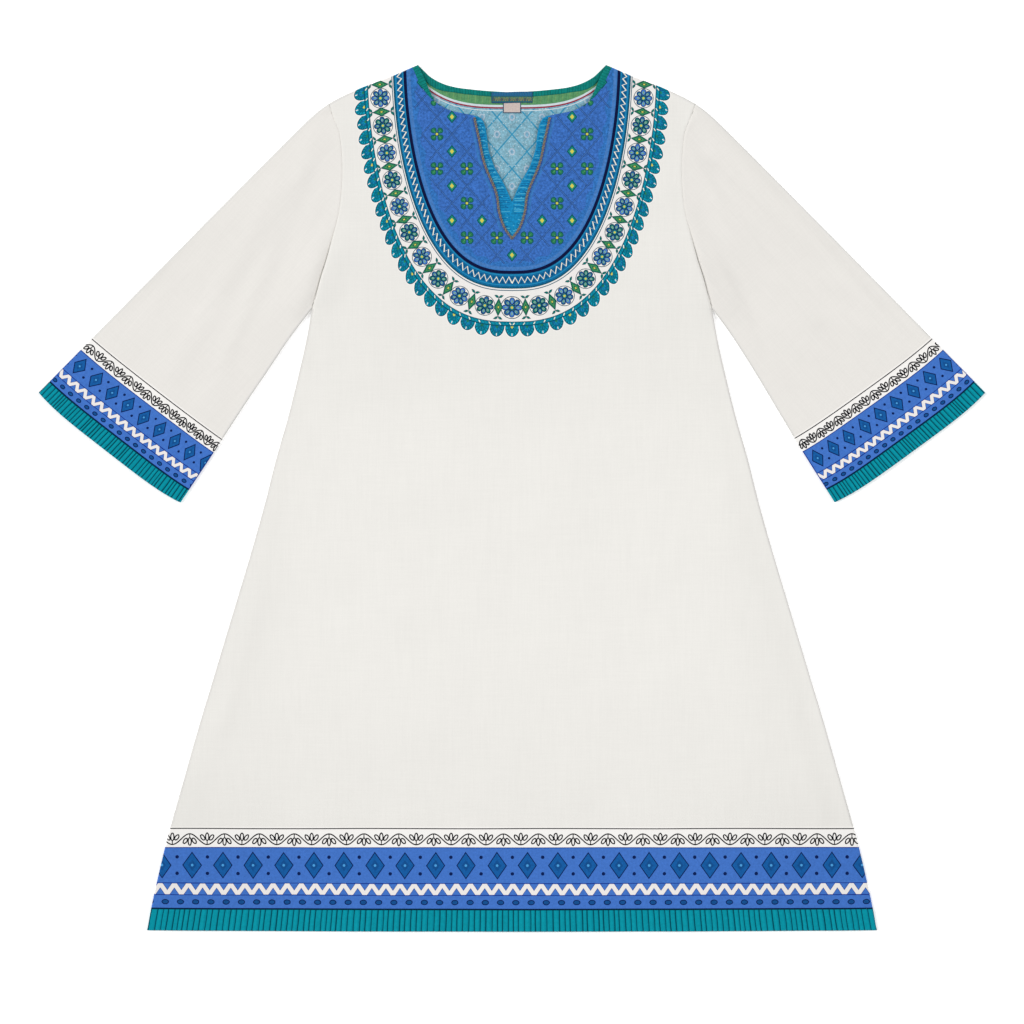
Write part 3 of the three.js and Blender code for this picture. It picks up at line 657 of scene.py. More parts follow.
def bands(board, rails, rng):
    """The four bands round the yoke, from the fans at the outside to the zigzag."""
    for k, r in rails.items():
        g = np.linspace(0, r.total, 120)
        board.fill(np.vstack([r.inner(g, g * 0), r.outer(g, 8.6 + g * 0)[::-1]]), "ground")
    for k, r in rails.items():
        fans(board, r, rng, middle=k > 0)
    for k, r in rails.items():
        rope(board, r, rng)
        zigzag(board, r, rng)
    for k, r in rails.items():
        rosettes(board, r, rng, middle=k > 0)


def four_petals(board, x, y, size, rng):
    """A small green flower of four petals."""
    at = (np.array([x, y]), np.array([1.0, 0.0]), np.array([0.0, 1.0]))
    for k in range(4):
        a = math.pi / 4 + k * math.pi / 2 + rng.uniform(-0.06, 0.06)
        q = PETAL * (1.15, 0.80)
        board.outlined(place(turned(q, a), at, 0, size), "green", "green_dark", 0.8 * U)
        board.stroke(place(turned(np.array([(0, 2.8), (0, 6.0)]), a), at, 0, size), np.array([0.9, 0.4]) * U, "green_light")
    board.fill(place(oval(0, 0, 2.2, n=10, rng=rng, wobble=0.06), at, 0, size), "green_dark")
    board.fill(place(oval(0, 0, 1.3, n=8), at, 0, size), "gold")


def yoke(board, rails, rng):
    """The ground of the yoke inside the navy line, its lattice of small flowers and the strip round the slit."""
    n = np.vstack([rails[1].n, rails[-1].n[::-1]])
    closed = np.vstack([n, [(-140, 500), (140, 500)]])
    board.fill(closed, "yoke_edge")
    for inset, ink in ((2.6, "sky"), (5.4, "yoke_mid"), (10.4, "yoke")):
        q = []
        for s in (1, -1):
            r = rails[s]
            g = np.linspace(0, r.total, 90)
            line = r.inner(g, g * 0)
            t = np.gradient(line, axis=0)
            t /= np.linalg.norm(t, axis=1)[:, None]
            o = np.stack([t[:, 1], -t[:, 0]], 1) * s
            if (o @ np.array([s, 0])).mean() > 0:
                o = -o
            wob = inset * U * (1 + 0.16 * np.sin(g * 0.21) * (ink == "yoke"))
            line = line + o * wob[:, None]
            line = line[line[:, 0] * s > 0]
            q.append(line if s > 0 else line[::-1])
        board.fill(np.vstack([*q, [(-130, 498), (130, 498)]]), ink)
    # strip round the slit
    b = curve(BRAID, 4)
    both = np.vstack([b, mirror(b)[::-1][1:]])
    board.stroke(np.vstack([mirror(b + (4.2, -1.0))[:-3], (b + (4.2, -1.0))[:-3][::-1]])[: len(b) - 3], 2.4 * U, "yoke_edge")
    board.stroke((b + (4.2, -1.0))[:-3], 2.4 * U, "yoke_edge")
    board.fill(np.vstack([both, [(-41.5, 440), (41.5, 440)]]), "cyan")
    neck = curve(FRONT_NECK[:12], 3)
    for s in (1, -1):
        board.stroke(mirror(neck, s), 2.0 * U, "turq_light")
        for y in np.arange(287, 417, 2.35):  # fine ribs across the strip
            x1 = np.interp(y, FRONT_NECK[:12, 1], FRONT_NECK[:12, 0])
            x2 = np.interp(y, BRAID[::-1, 1], BRAID[::-1, 0])
            if x2 - x1 > 4 and (y > 318 or rng.random() < 0.5):
                a, b = x1 + rng.uniform(0.8, 2.6), x2 - rng.uniform(0.8, 2.4)
                if y < 306:
                    a = b - rng.uniform(2, 4)
                ink = "cyan_dark" if rng.random() < 0.62 else "cyan_pale"
                board.stroke([(s * a, y), (s * (a + b) / 2, y + rng.uniform(-0.5, 0.5)), (s * b, y + rng.uniform(-1.2, 0.8))], rng.uniform(0.5, 0.9), ink)
        for _ in range(34):
            y = rng.uniform(292, 414)
            x1 = np.interp(y, FRONT_NECK[:12, 1], FRONT_NECK[:12, 0])
            x2 = np.interp(y, BRAID[::-1, 1], BRAID[::-1, 0])
            board.fill(oval(s * rng.uniform(x1 + 1.5, x2 - 1), y, 0.9, 0.6, n=5), "cyan_dark" if rng.random() < 0.7 else "cyan_pale")
    slit = np.vstack([both, [(-41.5, 440), (41.5, 440)]])
    lattice(board, rails, slit, rng)


def lattice(board, rails, slit, rng, w=16.5, h=19.0, top=476.0, keep=9.0):
    """A lattice of diamonds over the yoke, a flower or a small diamond in each, clear of the slit."""
    poly = ccw(np.vstack([mirror(rails[1].n), rails[1].n[::-1]]))
    hole = None if slit is None else ccw(grow(ccw(slit), 3.2))

    def clear(p, edge):
        p = np.atleast_2d(p)
        ok = (np.abs(winding(poly, p)) > 0) & (distance(p, rails[1].n) > edge) & (distance(p, rails[-1].n) > edge)
        if hole is not None:
            ok &= (np.abs(winding(hole, p)) == 0) & (distance(p, hole) > edge - 6.0)
        return ok.all()

    for j in range(16):
        for i in range(-8, 9):
            x, y = i * w, top - j * h
            if (i + j) % 2 == 0:
                for e in (-1, 1):
                    for u0, u1 in ((0.0, 0.5), (0.5, 1.0)):
                        q = np.array([(x + e * w * u, y - h * u) for u in (u0, (u0 + u1) / 2, u1)])
                        if clear(q, 7.0):
                            board.stroke(q, 1.5 * U, "speck")
                            board.stroke(q, 0.7 * U, "sky")
            elif clear(np.array([(x + a, y + b) for a, b in ((0, 0), (6.5, 0), (-6.5, 0), (0, 6.5), (0, -6.5))]), keep):
                if j % 2 == 0:
                    four_petals(board, x, y, 1.0, rng)
                else:
                    q = np.array([(0, -6.4), (5.2, 0), (0, 6.4), (-5.2, 0)]) + (x, y)
                    board.outlined(q, "sea", "sea_line", 0.9 * U)
                    board.fill((q - (x, y)) * 0.45 + (x, y), "bud_lime" if i % 2 else "gold")


def neck_print(board, rng):
    """The printed neckline of the front: a lattice yoke in four bands."""
    rails = {k: Rails(arches(FRONT_ARCHES), k) for k in (1, -1)}
    bands(board, rails, rng)
    yoke(board, rails, rng)
    for r in rails.values():
        g = np.linspace(0, r.total, 160)
        board.stroke(r.inner(g, g * 0), 3.1 * U, "navy")


# ---------------------------------------------------------------- the border of hem and cuffs
HEM_BANDS = dict(edge=0.0, teal=24.3, blue=40.0, white=53.0, upper=92.6, vine=110.6, line=113.4, diamond=33.5, zig=15.5, wave=38.3, k=1.0)
CUFF_BANDS = dict(edge=0.0, teal=17.0, blue=28.0, white=37.4, upper=66.0, vine=80.6, line=82.9, diamond=23.0, zig=11.5, wave=27.0, k=0.74)


def border(board, xy, length, B, rng, flip=False):
    """The printed border in its own coordinates: u along it, v up from the edge. flip turns its figures round."""

    def put(q, ink=None, **kw):
        q = densify(np.asarray(q, float), 7.0)
        if flip:
            q = q * (-1, 1) + (length, 0)
        return xy(q[:, 0], q[:, 1])

    def line(q):
        q = np.asarray(q, float)
        if flip:
            q = q * (-1, 1) + (length, 0)
        return xy(q[:, 0], q[:, 1])

    def band(v0, v1, ink):
        u = np.arange(-14, length + 14.1, 7.0)
        board.fill(np.vstack([xy(u, u * 0 + v0), xy(u, u * 0 + v1)[::-1]]), ink)

    def rule(v, width, ink, wob=0.0):
        u = np.arange(-14, length + 14.1, 5.0)
        board.stroke(xy(u, v + wob * np.sin(u * 0.031 + v)), width, ink)

    k = B["k"]
    band(B["upper"], B["line"] + 0.9, "strip")
    rule(B["line"] + 1.5, 1.3, "white")
    rule(B["line"] - 1.5, 1.0, "white")
    rule(B["line"], 1.1, "hairline", 0.15)
    band(B["teal"] - 6, B["upper"], "royal")
    # an even vine that waves along the strip, with three leaves in every hollow
    mid, half, lw = (B["upper"] + B["vine"]) / 2, (B["vine"] - B["upper"]) / 2, 1.35
    g = half / 9.0
    for i in range(-1, int(2 * length / B["wave"]) + 3):
        s = 1 if i % 2 else -1
        u0 = (i + 0.5) * B["wave"] / 2
        t = np.linspace(-0.52, 0.52, 15)
        board.stroke(line(np.stack([u0 + t * B["wave"] / 2, mid - s * 0.66 * half * np.cos(np.pi * t)], 1)), lw, "line")
        board.stroke(line([(u0, mid - s * 0.62 * half), (u0, mid - s * 1.4 * g)]), lw * 0.8, "line")
        for side in (-1, 0, 1):
            leaf = oval(side * 4.9 * g, s * (2.6 - 0.7 * abs(side)) * g, 1.8 * g, (4.2 if side == 0 else 3.4) * g, -s * side * 0.6, n=12, rng=rng, wobble=0.05)
            loop = line(leaf + (u0, mid))
            board.fill(grow(loop, lw / 2), "line")
            board.fill(grow(loop, -lw / 2), "strip")
    # a white zigzag, left between two rows of triangles
    c0, c1, t = B["blue"], B["white"], B["zig"]
    band(c0, c1, "chev")
    for i in range(-1, int(length / t) + 3):
        for shift, foot, top in ((0.0, c0 - 0.5, c0 + 0.62 * (c1 - c0)), (0.5, c1 + 0.5, c1 - 0.62 * (c1 - c0))):
            u0 = (i + shift) * t
            loop = put([(u0 - 0.38 * t, foot), (u0, top), (u0 + 0.38 * t, foot)])
            board.fill(loop, "royal_edge")
            board.fill(grow(loop, -0.5), "royal")
    # diamonds in the wide blue band, with two dots between each pair, and ovals in the narrow one
    v0, v1, pitch = B["white"], B["upper"], B["diamond"]
    vm = (v0 + v1) / 2
    for i in range(-1, int(length / pitch) + 3):
        u0 = (i + 0.5) * pitch + rng.uniform(-0.5, 0.5) * k
        p = np.array([(0, 0.36 * (v1 - v0)), (0.30 * pitch, 0), (0, -0.36 * (v1 - v0)), (-0.30 * pitch, 0)]) + rng.uniform(-0.3, 0.3, (4, 2))
        board.outlined(put(p + (u0, vm)), "mark", "mark_line", 1.05)
        board.fill(put(p * 0.45 + (u0, vm)), "mark_low")
        board.fill(put(oval(u0, vm, 1.5 * k, 1.5 * k, n=8)), "mark_dot")
        for e in (-1, 1):
            board.fill(put(oval(u0 + pitch / 2, vm + e * 0.23 * (v1 - v0), 2.0 * k, 2.0 * k, n=9, rng=rng, wobble=0.05)), "mark_line")
    vm = (B["teal"] + B["blue"]) / 2
    for i in range(-1, int(2 * length / pitch) + 3):
        board.outlined(put(oval((i + 0.25) * pitch / 2, vm, 3.6 * k, 2.5 * k, n=12, rng=rng, wobble=0.05)), "mark_low", "mark_line", 1.0)
    rule(B["white"], 0.85, "royal_edge", 0.2)
    rule(B["blue"], 0.85, "royal_edge", 0.2)
    rule(B["upper"] - 0.25, 0.95, "royal_edge", 0.12)
    rule(B["teal"] + 0.5, 1.3, "mark_line", 0.0)


# ---------------------------------------------------------------- cutting the drawing into the cloth
def hex_grid(lo, hi, step, shift=(0.0, 0.0)):
    xs = np.arange(lo[0], hi[0] + step, step)
    ys = np.arange(lo[1], hi[1] + step, step * 0.8660254)
    x, y = np.meshgrid(xs, ys)
    x = x + (np.arange(len(ys)) % 2)[:, None] * step / 2
    return np.stack([x.ravel() + shift[0], y.ravel() + shift[1]], 1)


def inset_rows(loop, steps):
    """Open lines that run inside the loop at these distances."""
    out = []
    for d in steps:
        q = grow(loop, -d, 1.6)
        ok = (distance(q, np.vstack([loop, loop[:1]])) > 0.86 * d) & (winding(ccw(loop), q) > 0)
        run = []
        for i in range(len(q) + 1):
            p = q[i % len(q)]
            if ok[i % len(q)] and (not run or np.linalg.norm(run[-1] - p) < 14):
                run.append(p)
            else:
                if len(run) > 2:
                    out.append(np.array(run))
                run = [p] if ok[i % len(q)] else []
        if len(run) > 2:
            out.append(np.array(run))
    return out


def embed(loop, board, grid, rows=(), ground="cloth", extra=None):
    """Triangulates the loop with every drawn edge in it. Gives points, triangles, an ink for each triangle, and the border in order."""
    loop = ccw(loop)
    pts, edges = [], []

    def add(line, closed):
        k = len(pts)
        pts.extend(line.tolist())
        edges.extend((k + i, k + i + 1) for i in range(len(line) - 1))
        if closed:
            edges.append((k + len(line) - 1, k))

    add(loop, True)
    lo, hi = loop.min(0) - 3, loop.max(0) + 3
    items = []
    for p, ink in (board.items if board else []):
        if (p.max(0) < lo).any() or (p.min(0) > hi).any():
            continue
        p = densify(p, 7.0)
        items.append((p, ink))
        add(p, True)
    for line in rows:
        add(line, False)
    for line in (board.guides if board else []):
        add(line, False)
    ring = np.vstack([loop, loop[:1]])
    g = grid[winding(loop, grid) > 0]
    g = g[distance(g, ring) > 2.4]
    if len(rows):
        pass
    pts.extend(g.tolist())
    if extra is not None:
        e = extra[winding(loop, extra) > 0]
        pts.extend(e[distance(e, ring) > 1.2].tolist())
    out = delaunay_2d_cdt([Vector(p) for p in pts], edges, [], 0, 1e-3, False)
    v = np.array([(q.x, q.y) for q in out[0]])
    f = np.array([t for t in out[2] if len(t) == 3], int)
    a, b, c = v[f[:, 0]], v[f[:, 1]], v[f[:, 2]]
    cross = (b[:, 0] - a[:, 0]) * (c[:, 1] - a[:, 1]) - (b[:, 1] - a[:, 1]) * (c[:, 0] - a[:, 0])
    f[cross < 0] = f[cross < 0][:, ::-1]
    mid = (a + b + c) / 3
    keep = (winding(loop, mid) > 0) & (np.abs(cross) > 1e-7)
    f, mid = f[keep], mid[keep]
    ink = np.full(len(f), INK_NAMES.index(ground))
    order = np.argsort(mid[:, 0])
    xs = mid[order, 0]
    for p, which in items:
        (x0, y0), (x1, y1) = p.min(0), p.max(0)
        sub = order[np.searchsorted(xs, x0) : np.searchsorted(xs, x1)]
        sub = sub[(mid[sub, 1] > y0) & (mid[sub, 1] < y1)]
        if len(sub):
            ink[sub[winding(p, mid[sub]) > 0]] = which
    used = np.unique(f)
    new = np.full(len(v), -1)
    new[used] = np.arange(len(used))
    v, f = v[used], new[f]
    return v, f, ink, border_of(v, f, loop)


def border_of(v, f, loop):
    """The border vertices in order, from the loop's first point, with how far along each lies."""
    e = np.vstack([f[:, [0, 1]], f[:, [1, 2]], f[:, [2, 0]]])
    key = set(map(tuple, e.tolist()))
    nxt = {a: b for a, b in key if (b, a) not in key}
    start = min(nxt, key=lambda i: ((v[i] - loop[0]) ** 2).sum())
    ring, i = [start], nxt[start]
    while i != start and len(ring) <= len(nxt):
        ring.append(i)
        i = nxt[i]
    p = v[ring]
    c = np.concatenate([[0.0], np.cumsum(np.linalg.norm(np.diff(np.vstack([p, p[:1]]), axis=0), axis=1))])
    return np.array(ring), c[:-1] / c[-1]


def zipper(ra, ta, rb, tb):
    """Triangles between two closed rings of vertices that run along the same line."""
    out, i, j = [], 0, 0
    na, nb = len(ra), len(rb)
    ta, tb = np.append(ta, 1.0), np.append(tb, 1.0)
    while i < na or j < nb:
        if j >= nb or (i < na and ta[i + 1] <= tb[j + 1]):
            out.append((ra[i % na], rb[j % nb], ra[(i + 1) % na]))
            i += 1
        else:
            out.append((ra[i % na], rb[j % nb], rb[(j + 1) % nb]))
            j += 1
    return out


class Cloth:
    """Collects closed thin layers and makes one mesh of them."""

    def __init__(self):
        self.v, self.f, self.ink, self.n, self.area = [], [], [], 0, 0.0

    def layer(self, loop, face, board_top=None, board_low=None, grid=7.0, rows=(0.35, 0.9, 1.7, 3.6), ground="cloth", ground_low=None,
              extra=None, coarse=14.0, squash=None):
        """A thin layer over the loop. face gives its upper and lower height at points."""
        loop = ccw(loop)
        lo, hi = loop.min(0), loop.max(0)
        lines = inset_rows(loop, rows) if len(rows) else []
        top = embed(loop, board_top, hex_grid(lo, hi, grid), lines, ground, extra)
        low = embed(loop, board_low, hex_grid(lo, hi, coarse), inset_rows(loop, rows[:1] + rows[-1:]) if len(rows) else [], ground_low or ground)
        zt, _ = face(top[0])
        _, zl = face(low[0])
        # both faces use both heights at the border, so the rim is closed
        base = self.n
        self.v += [np.column_stack([top[0], zt]), np.column_stack([low[0], zl])]
        nt = len(top[0])
        self.f += [top[1] + base, low[1][:, ::-1] + base + nt]
        self.ink += [top[2], low[2]]
        ring, t = top[3]
        ring2, t2 = low[3]
        # the upper ring runs anticlockwise, so its rim faces outward this way round
        z = np.array(zipper(ring + base, t, ring2 + base + nt, t2), int)
        rim_ink = np.full(len(z), -1)
        edge_of = {}
        e = np.vstack([top[1][:, [0, 1]], top[1][:, [1, 2]], top[1][:, [2, 0]]])
        for (a, b), k in zip(e.tolist(), np.tile(top[2], 3).tolist()):
            edge_of[a] = max(edge_of.get(a, -1), k) if a in edge_of else k
        for i, tri in enumerate(z):
            rim_ink[i] = edge_of.get(int(tri[0] - base), INK_NAMES.index(ground))
        self.f.append(z)
        self.ink.append(rim_ink)
        self.n += nt + len(low[0])
        self.area += signed_area(loop)
        return top

    def mesh(self, name, materials, smooth_angle=50):
        return make_mesh(name, np.vstack(self.v), np.vstack(self.f), np.concatenate(self.ink), materials, smooth_angle)


# painted shade: dull streaks in the hollows of the folds and beside the underarm, one of them a painted highlight on a
# sleeve ridge: points, loss of light at each, spread
PAINTED_SHADE_AND_LIGHT_STREAKS = {
    "sleeve_cloth_left": (
        (((211, 429), (266, 365), (334, 294), (393, 226), (436, 180)), (0.018, 0.036, 0.038, 0.030, 0.012), 5.0),
        (((196, 396), (224, 340), (253, 306), (284, 261)), (0.010, 0.026, 0.016, 0.004), 5.0),
        (((200, 322), (210, 273), (226, 224)), (0.012, 0.036, 0.020), 6.0),
        (((212, 294), (237, 247), (262, 196), (276, 160)), (0.014, 0.034, 0.026, 0.008), 4.5),
        (((300, 330), (352, 262), (396, 196)), (-0.002, -0.010, -0.004), 9.0),
    ),
    "sleeve_cloth_right": (
        (((-208, 392), (-262, 300), (-318, 222)), (0.006, 0.016, 0.006), 6.0),
        (((-206, 330), (-236, 262), (-262, 206)), (0.010, 0.016, 0.008), 5.0),
    ),
    "front_cloth": (
        (((262, -34), (300, -170), (350, -353)), (0.004, 0.016, 0.026), 10.0),
        (((-233, 98), (-293, -199), (-343, -331)), (0.004, 0.011, 0.014), 9.0),
        (((176, 428), (184, 396), (190, 352)), (0.022, 0.014, 0.004), 6.0),
    ),
}


def painted_light_and_shade(name, p):
    """Painted light and shade multiplied into the cloth's colour: painted shade in the hollows of the folds, a painted
    brighter middle on the front, and painted shade toward its side edges and toward the hem.
    """
    out = np.ones(len(p))
    for line, loss, spread in PAINTED_SHADE_AND_LIGHT_STREAKS.get(name, ()):
        best, value = np.full(len(p), 1e9), np.zeros(len(p))
        for (a, b), (la, lb) in zip(zip(line[:-1], line[1:]), zip(loss[:-1], loss[1:])):
            a, b = np.array(a, float), np.array(b, float)
            t = np.clip((p[:, :2] - a) @ (b - a) / ((b - a) @ (b - a)), 0, 1)
            d = np.hypot(*(p[:, :2] - a - t[:, None] * (b - a)).T)
            value = np.where(d < best, la + (lb - la) * t, value)
            best = np.minimum(best, d)
        out -= value * np.exp(-(best / spread) ** 2)
    if name != "front_cloth":
        return out
    side, low = np.abs(p[:, 0]), -p[:, 1]
    # painted light brightens the middle of the front; painted shade darkens it toward the side edges and toward the hem
    middle = 0.019 * (1 - smooth((side - 195) / 95)) * (1 - smooth((low - 170) / 120)) - 0.030 * smooth((-40 - low) / 150)
    edges = 0.012 * smooth((side - 225) / 75)
    hem = (0.020 + 0.032 * smooth((side - 120) / 260)) * smooth((low - 262) / 128)
    return out + middle - edges - hem


def make_mesh(name, v, f, ink, materials, smooth_angle=50, slot=None):
    """A mesh in metres from points in millimetres, with its inks as a colour for each corner."""
    me = bpy.data.meshes.new(name)
    me.vertices.add(len(v))
    me.vertices.foreach_set("co", (v / 1000).astype(np.float32).ravel())
    me.loops.add(len(f) * 3)
    me.loops.foreach_set("vertex_index", f.astype(np.int32).ravel())
    me.polygons.add(len(f))
    me.polygons.foreach_set("loop_start", np.arange(0, len(f) * 3, 3, dtype=np.int32))
    me.polygons.foreach_set("loop_total", np.full(len(f), 3, np.int32))
    me.polygons.foreach_set("use_smooth", np.ones(len(f), bool))
    if slot is not None:
        me.polygons.foreach_set("material_index", np.asarray(slot, np.int32))
    me.update(calc_edges=True)
    me.validate()
    if ink is not None:
        rgba = INK_RGBA[ink].repeat(3, axis=0).astype(np.float32)
        # the painted light and shade is multiplied into the ink colours here
        rgba[:, :3] *= painted_light_and_shade(name, v)[f.ravel()][:, None]
        at = me.color_attributes.new("ink", "FLOAT_COLOR", "CORNER")
        if len(at.data) == len(rgba):
            at.data.foreach_set("color", rgba.ravel())
    me.set_sharp_from_angle(angle=math.radians(smooth_angle))
    ob = bpy.data.objects.new(name, me)
    bpy.context.scene.collection.objects.link(ob)
    for m in materials:
        me.materials.append(m)
    return ob


# ---------------------------------------------------------------- finishes
def finish_of(name, grain=0.0, streak=0.030, weft=0.022, weave=0.024, pitch=0.55, bump=0.11, mottle=430.0, rough=(0.80, 0.93), spec=0.06, sheen=0.0):
    """Printed cotton or braid: its inks, a mottle where it is printed, slubs along the grain and a fine plain weave."""
    m = bpy.data.materials.new(name)
    m.use_nodes = True
    t = m.node_tree
    for n in list(t.nodes):
        t.nodes.remove(n)

    def new(kind, **values):
        n = t.nodes.new(kind)
        for k, v in values.items():
            if hasattr(n, k):
                setattr(n, k, v)
            else:
                n.inputs[k.replace("_", " ")].default_value = v
        return n

    def math_node(op, a, b, c=None):
        n = t.nodes.new("ShaderNodeMath")
        n.operation = op
        for i, x in enumerate((a, b, c)):
            if x is None:
                continue
            if isinstance(x, (int, float)):
                n.inputs[i].default_value = x
            else:
                t.links.new(x, n.inputs[i])
        return n.outputs[0]

    def noise(scale, detail=2.0, stretch=None):
        n = new("ShaderNodeTexNoise", Scale=scale, Detail=detail, Roughness=0.55)
        src = turned
        if stretch:
            q = new("ShaderNodeMapping")
            q.inputs["Scale"].default_value = stretch
            t.links.new(turned, q.inputs["Vector"])
            src = q.outputs["Vector"]
        t.links.new(src, n.inputs["Vector"])
        return n.outputs["Fac"]

    def bands(axis):
        n = new("ShaderNodeTexWave")
        n.wave_type, n.bands_direction, n.wave_profile = "BANDS", axis, "SIN"
        n.inputs["Scale"].default_value = 2 * math.pi / (20 * pitch / 1000)
        n.inputs["Distortion"].default_value = 0.35
        n.inputs["Detail"].default_value = 1.0
        t.links.new(turned, n.inputs["Vector"])
        return n.outputs["Fac"]

    coord = new("ShaderNodeTexCoord")
    turn = new("ShaderNodeMapping")
    turn.inputs["Rotation"].default_value = (0, 0, grain)
    t.links.new(coord.outputs["Object"], turn.inputs["Vector"])
    turned = turn.outputs["Vector"]
    ink = new("ShaderNodeAttribute")
    ink.attribute_type, ink.attribute_name = "GEOMETRY", "ink"
    # how dark: mottle where the ink says so, slubs along and across the grain, the weave
    spread = new("ShaderNodeMapRange")
    spread.inputs["From Min"].default_value, spread.inputs["From Max"].default_value = 0.30, 0.70
    spread.inputs["To Min"].default_value, spread.inputs["To Max"].default_value = -0.34, 0.30
    t.links.new(noise(mottle, 3.0), spread.inputs["Value"])
    fine = new("ShaderNodeMapRange")
    fine.inputs["From Min"].default_value, fine.inputs["From Max"].default_value = 0.32, 0.68
    fine.inputs["To Min"].default_value, fine.inputs["To Max"].default_value = -0.16, 0.16
    t.links.new(noise(mottle * 3.1, 1.0), fine.inputs["Value"])
    both = math_node("ADD", spread.outputs["Result"], fine.outputs["Result"])
    shade = math_node("MULTIPLY_ADD", both, ink.outputs["Alpha"], 1.0)
    slub = math_node("MULTIPLY_ADD", noise(1.0, 3.0, (620, 24, 60)), 2 * streak, 1.0 - streak)
    cross = math_node("MULTIPLY_ADD", noise(1.0, 2.0, (30, 600, 60)), 2 * weft, 1.0 - weft)
    worn = math_node("ADD", noise(1.0, 2.0, (60, 20, 20)), math_node("MULTIPLY", noise(540.0, 2.0), 1.5))
    cloud = math_node("MULTIPLY", math_node("MULTIPLY_ADD", noise(9.0, 2.0), 0.016, 0.992), math_node("MULTIPLY_ADD", worn, 0.024, 0.970))
    plain = math_node("MULTIPLY", bands("X"), bands("Y"))
    woven = math_node("MULTIPLY_ADD", plain, weave, 1.0 - weave / 2)
    level = math_node("MULTIPLY", math_node("MULTIPLY", shade, slub), math_node("MULTIPLY", math_node("MULTIPLY", cross, cloud), woven))
    tone = new("ShaderNodeVectorMath")
    tone.operation = "SCALE"
    t.links.new(ink.outputs["Color"], tone.inputs[0])
    t.links.new(level, tone.inputs["Scale"])
    rough_map = new("ShaderNodeMapRange")
    rough_map.inputs["To Min"].default_value, rough_map.inputs["To Max"].default_value = rough
    t.links.new(noise(160.0, 2.0), rough_map.inputs["Value"])
    height = math_node("ADD", plain, math_node("MULTIPLY", noise(1.0, 3.0, (900, 11, 60)), 1.2))
    relief = new("ShaderNodeBump")
    relief.inputs["Strength"].default_value = bump
    relief.inputs["Distance"].default_value = 0.0002
    t.links.new(height, relief.inputs["Height"])
    surface = new("ShaderNodeBsdfPrincipled")
    surface.inputs["Specular IOR Level"].default_value = spec
    surface.inputs["Sheen Weight"].default_value = sheen
    surface.inputs["Sheen Roughness"].default_value = 0.5
    t.links.new(tone.outputs[0], surface.inputs["Base Color"])
    t.links.new(rough_map.outputs["Result"], surface.inputs["Roughness"])
    t.links.new(relief.outputs["Normal"], surface.inputs["Normal"])
    out = new("ShaderNodeOutputMaterial")
    t.links.new(surface.outputs[0], out.inputs["Surface"])
    return m


COTTON = finish_of("cotton_print")
COTTON_L = finish_of("cotton_print_left", grain=math.radians(-42))
COTTON_R = finish_of("cotton_print_right", grain=math.radians(42))
EDGING = finish_of("ribbed_edging", streak=0.03, weft=0.03, weave=0.02, mottle=300.0, bump=0.16)
BIND = finish_of("bias_binding", grain=math.radians(45), streak=0.03, weft=0.02, mottle=360.0, bump=0.14)
CORD = finish_of("twisted_braid", streak=0.05, weft=0.03, weave=0.02, mottle=900.0, bump=0.2, rough=(0.6, 0.8), spec=0.35, sheen=0.2)
WOVEN = finish_of("woven_label", streak=0.03, weft=0.05, weave=0.03, mottle=700.0, bump=0.2, rough=(0.55, 0.75), spec=0.35)
TAPE = finish_of("tag_tape", streak=0.02, weft=0.02, weave=0.02, mottle=600.0, bump=0.1, rough=(0.5, 0.7), spec=0.35)


# ---------------------------------------------------------------- outlines of the pieces
def seam_y(x):
    return hem_y(x, HEM_SEAM)


SEAM_END = float(side_at(seam_y(397.0)))
SEAM_TOP = float(seam_y(SEAM_END))


def hem_allowance(depth):
    x = np.linspace(0, SEAM_END - 2.4, 34)
    return np.column_stack([x, seam_y(x) - depth])


def seam_line(n=60, shift=0.0):
    x = np.linspace(-SEAM_END, SEAM_END, n)
    return np.column_stack([x, seam_y(x) + shift])


def body_half(front):
    side = SIDE_LINE[SIDE_LINE[:, 1] > SEAM_TOP + 2]
    x = np.linspace(0, SEAM_END, 34)
    start = hem_allowance(5.0) if front else np.column_stack([x, seam_y(x)])[:-1]
    parts = [start, [(SEAM_END, SEAM_TOP)], side, ARMHOLE_LINE[1:], SHOULDER_LINE[::-1][1:]]
    half = np.vstack(parts)
    if front:
        under = BINDING_EDGE + 0.45 * (BINDING_SEAM - BINDING_EDGE)
        half = half[half[:, 0] > -1]
        half = np.vstack([half[~((half[:, 0] < 108) & (half[:, 1] > 470))], curve(under, 4)[::-1][:-1], NECK_LINE[::-1]])
    else:
        neck = BACK_NECK_LINE - (0, 2.8)
        half = np.vstack([half[:-1], (neck[::-1] + (0, 0))])
    return half


def whole(half):
    return np.vstack([half, mirror(half)[::-1][1:-1]])


def offset_line(line, d):
    """An open line moved to its left by d."""
    g = np.gradient(line, axis=0)
    g /= np.linalg.norm(g, axis=1)[:, None]
    return line + np.stack([-g[:, 1], g[:, 0]], 1) * d


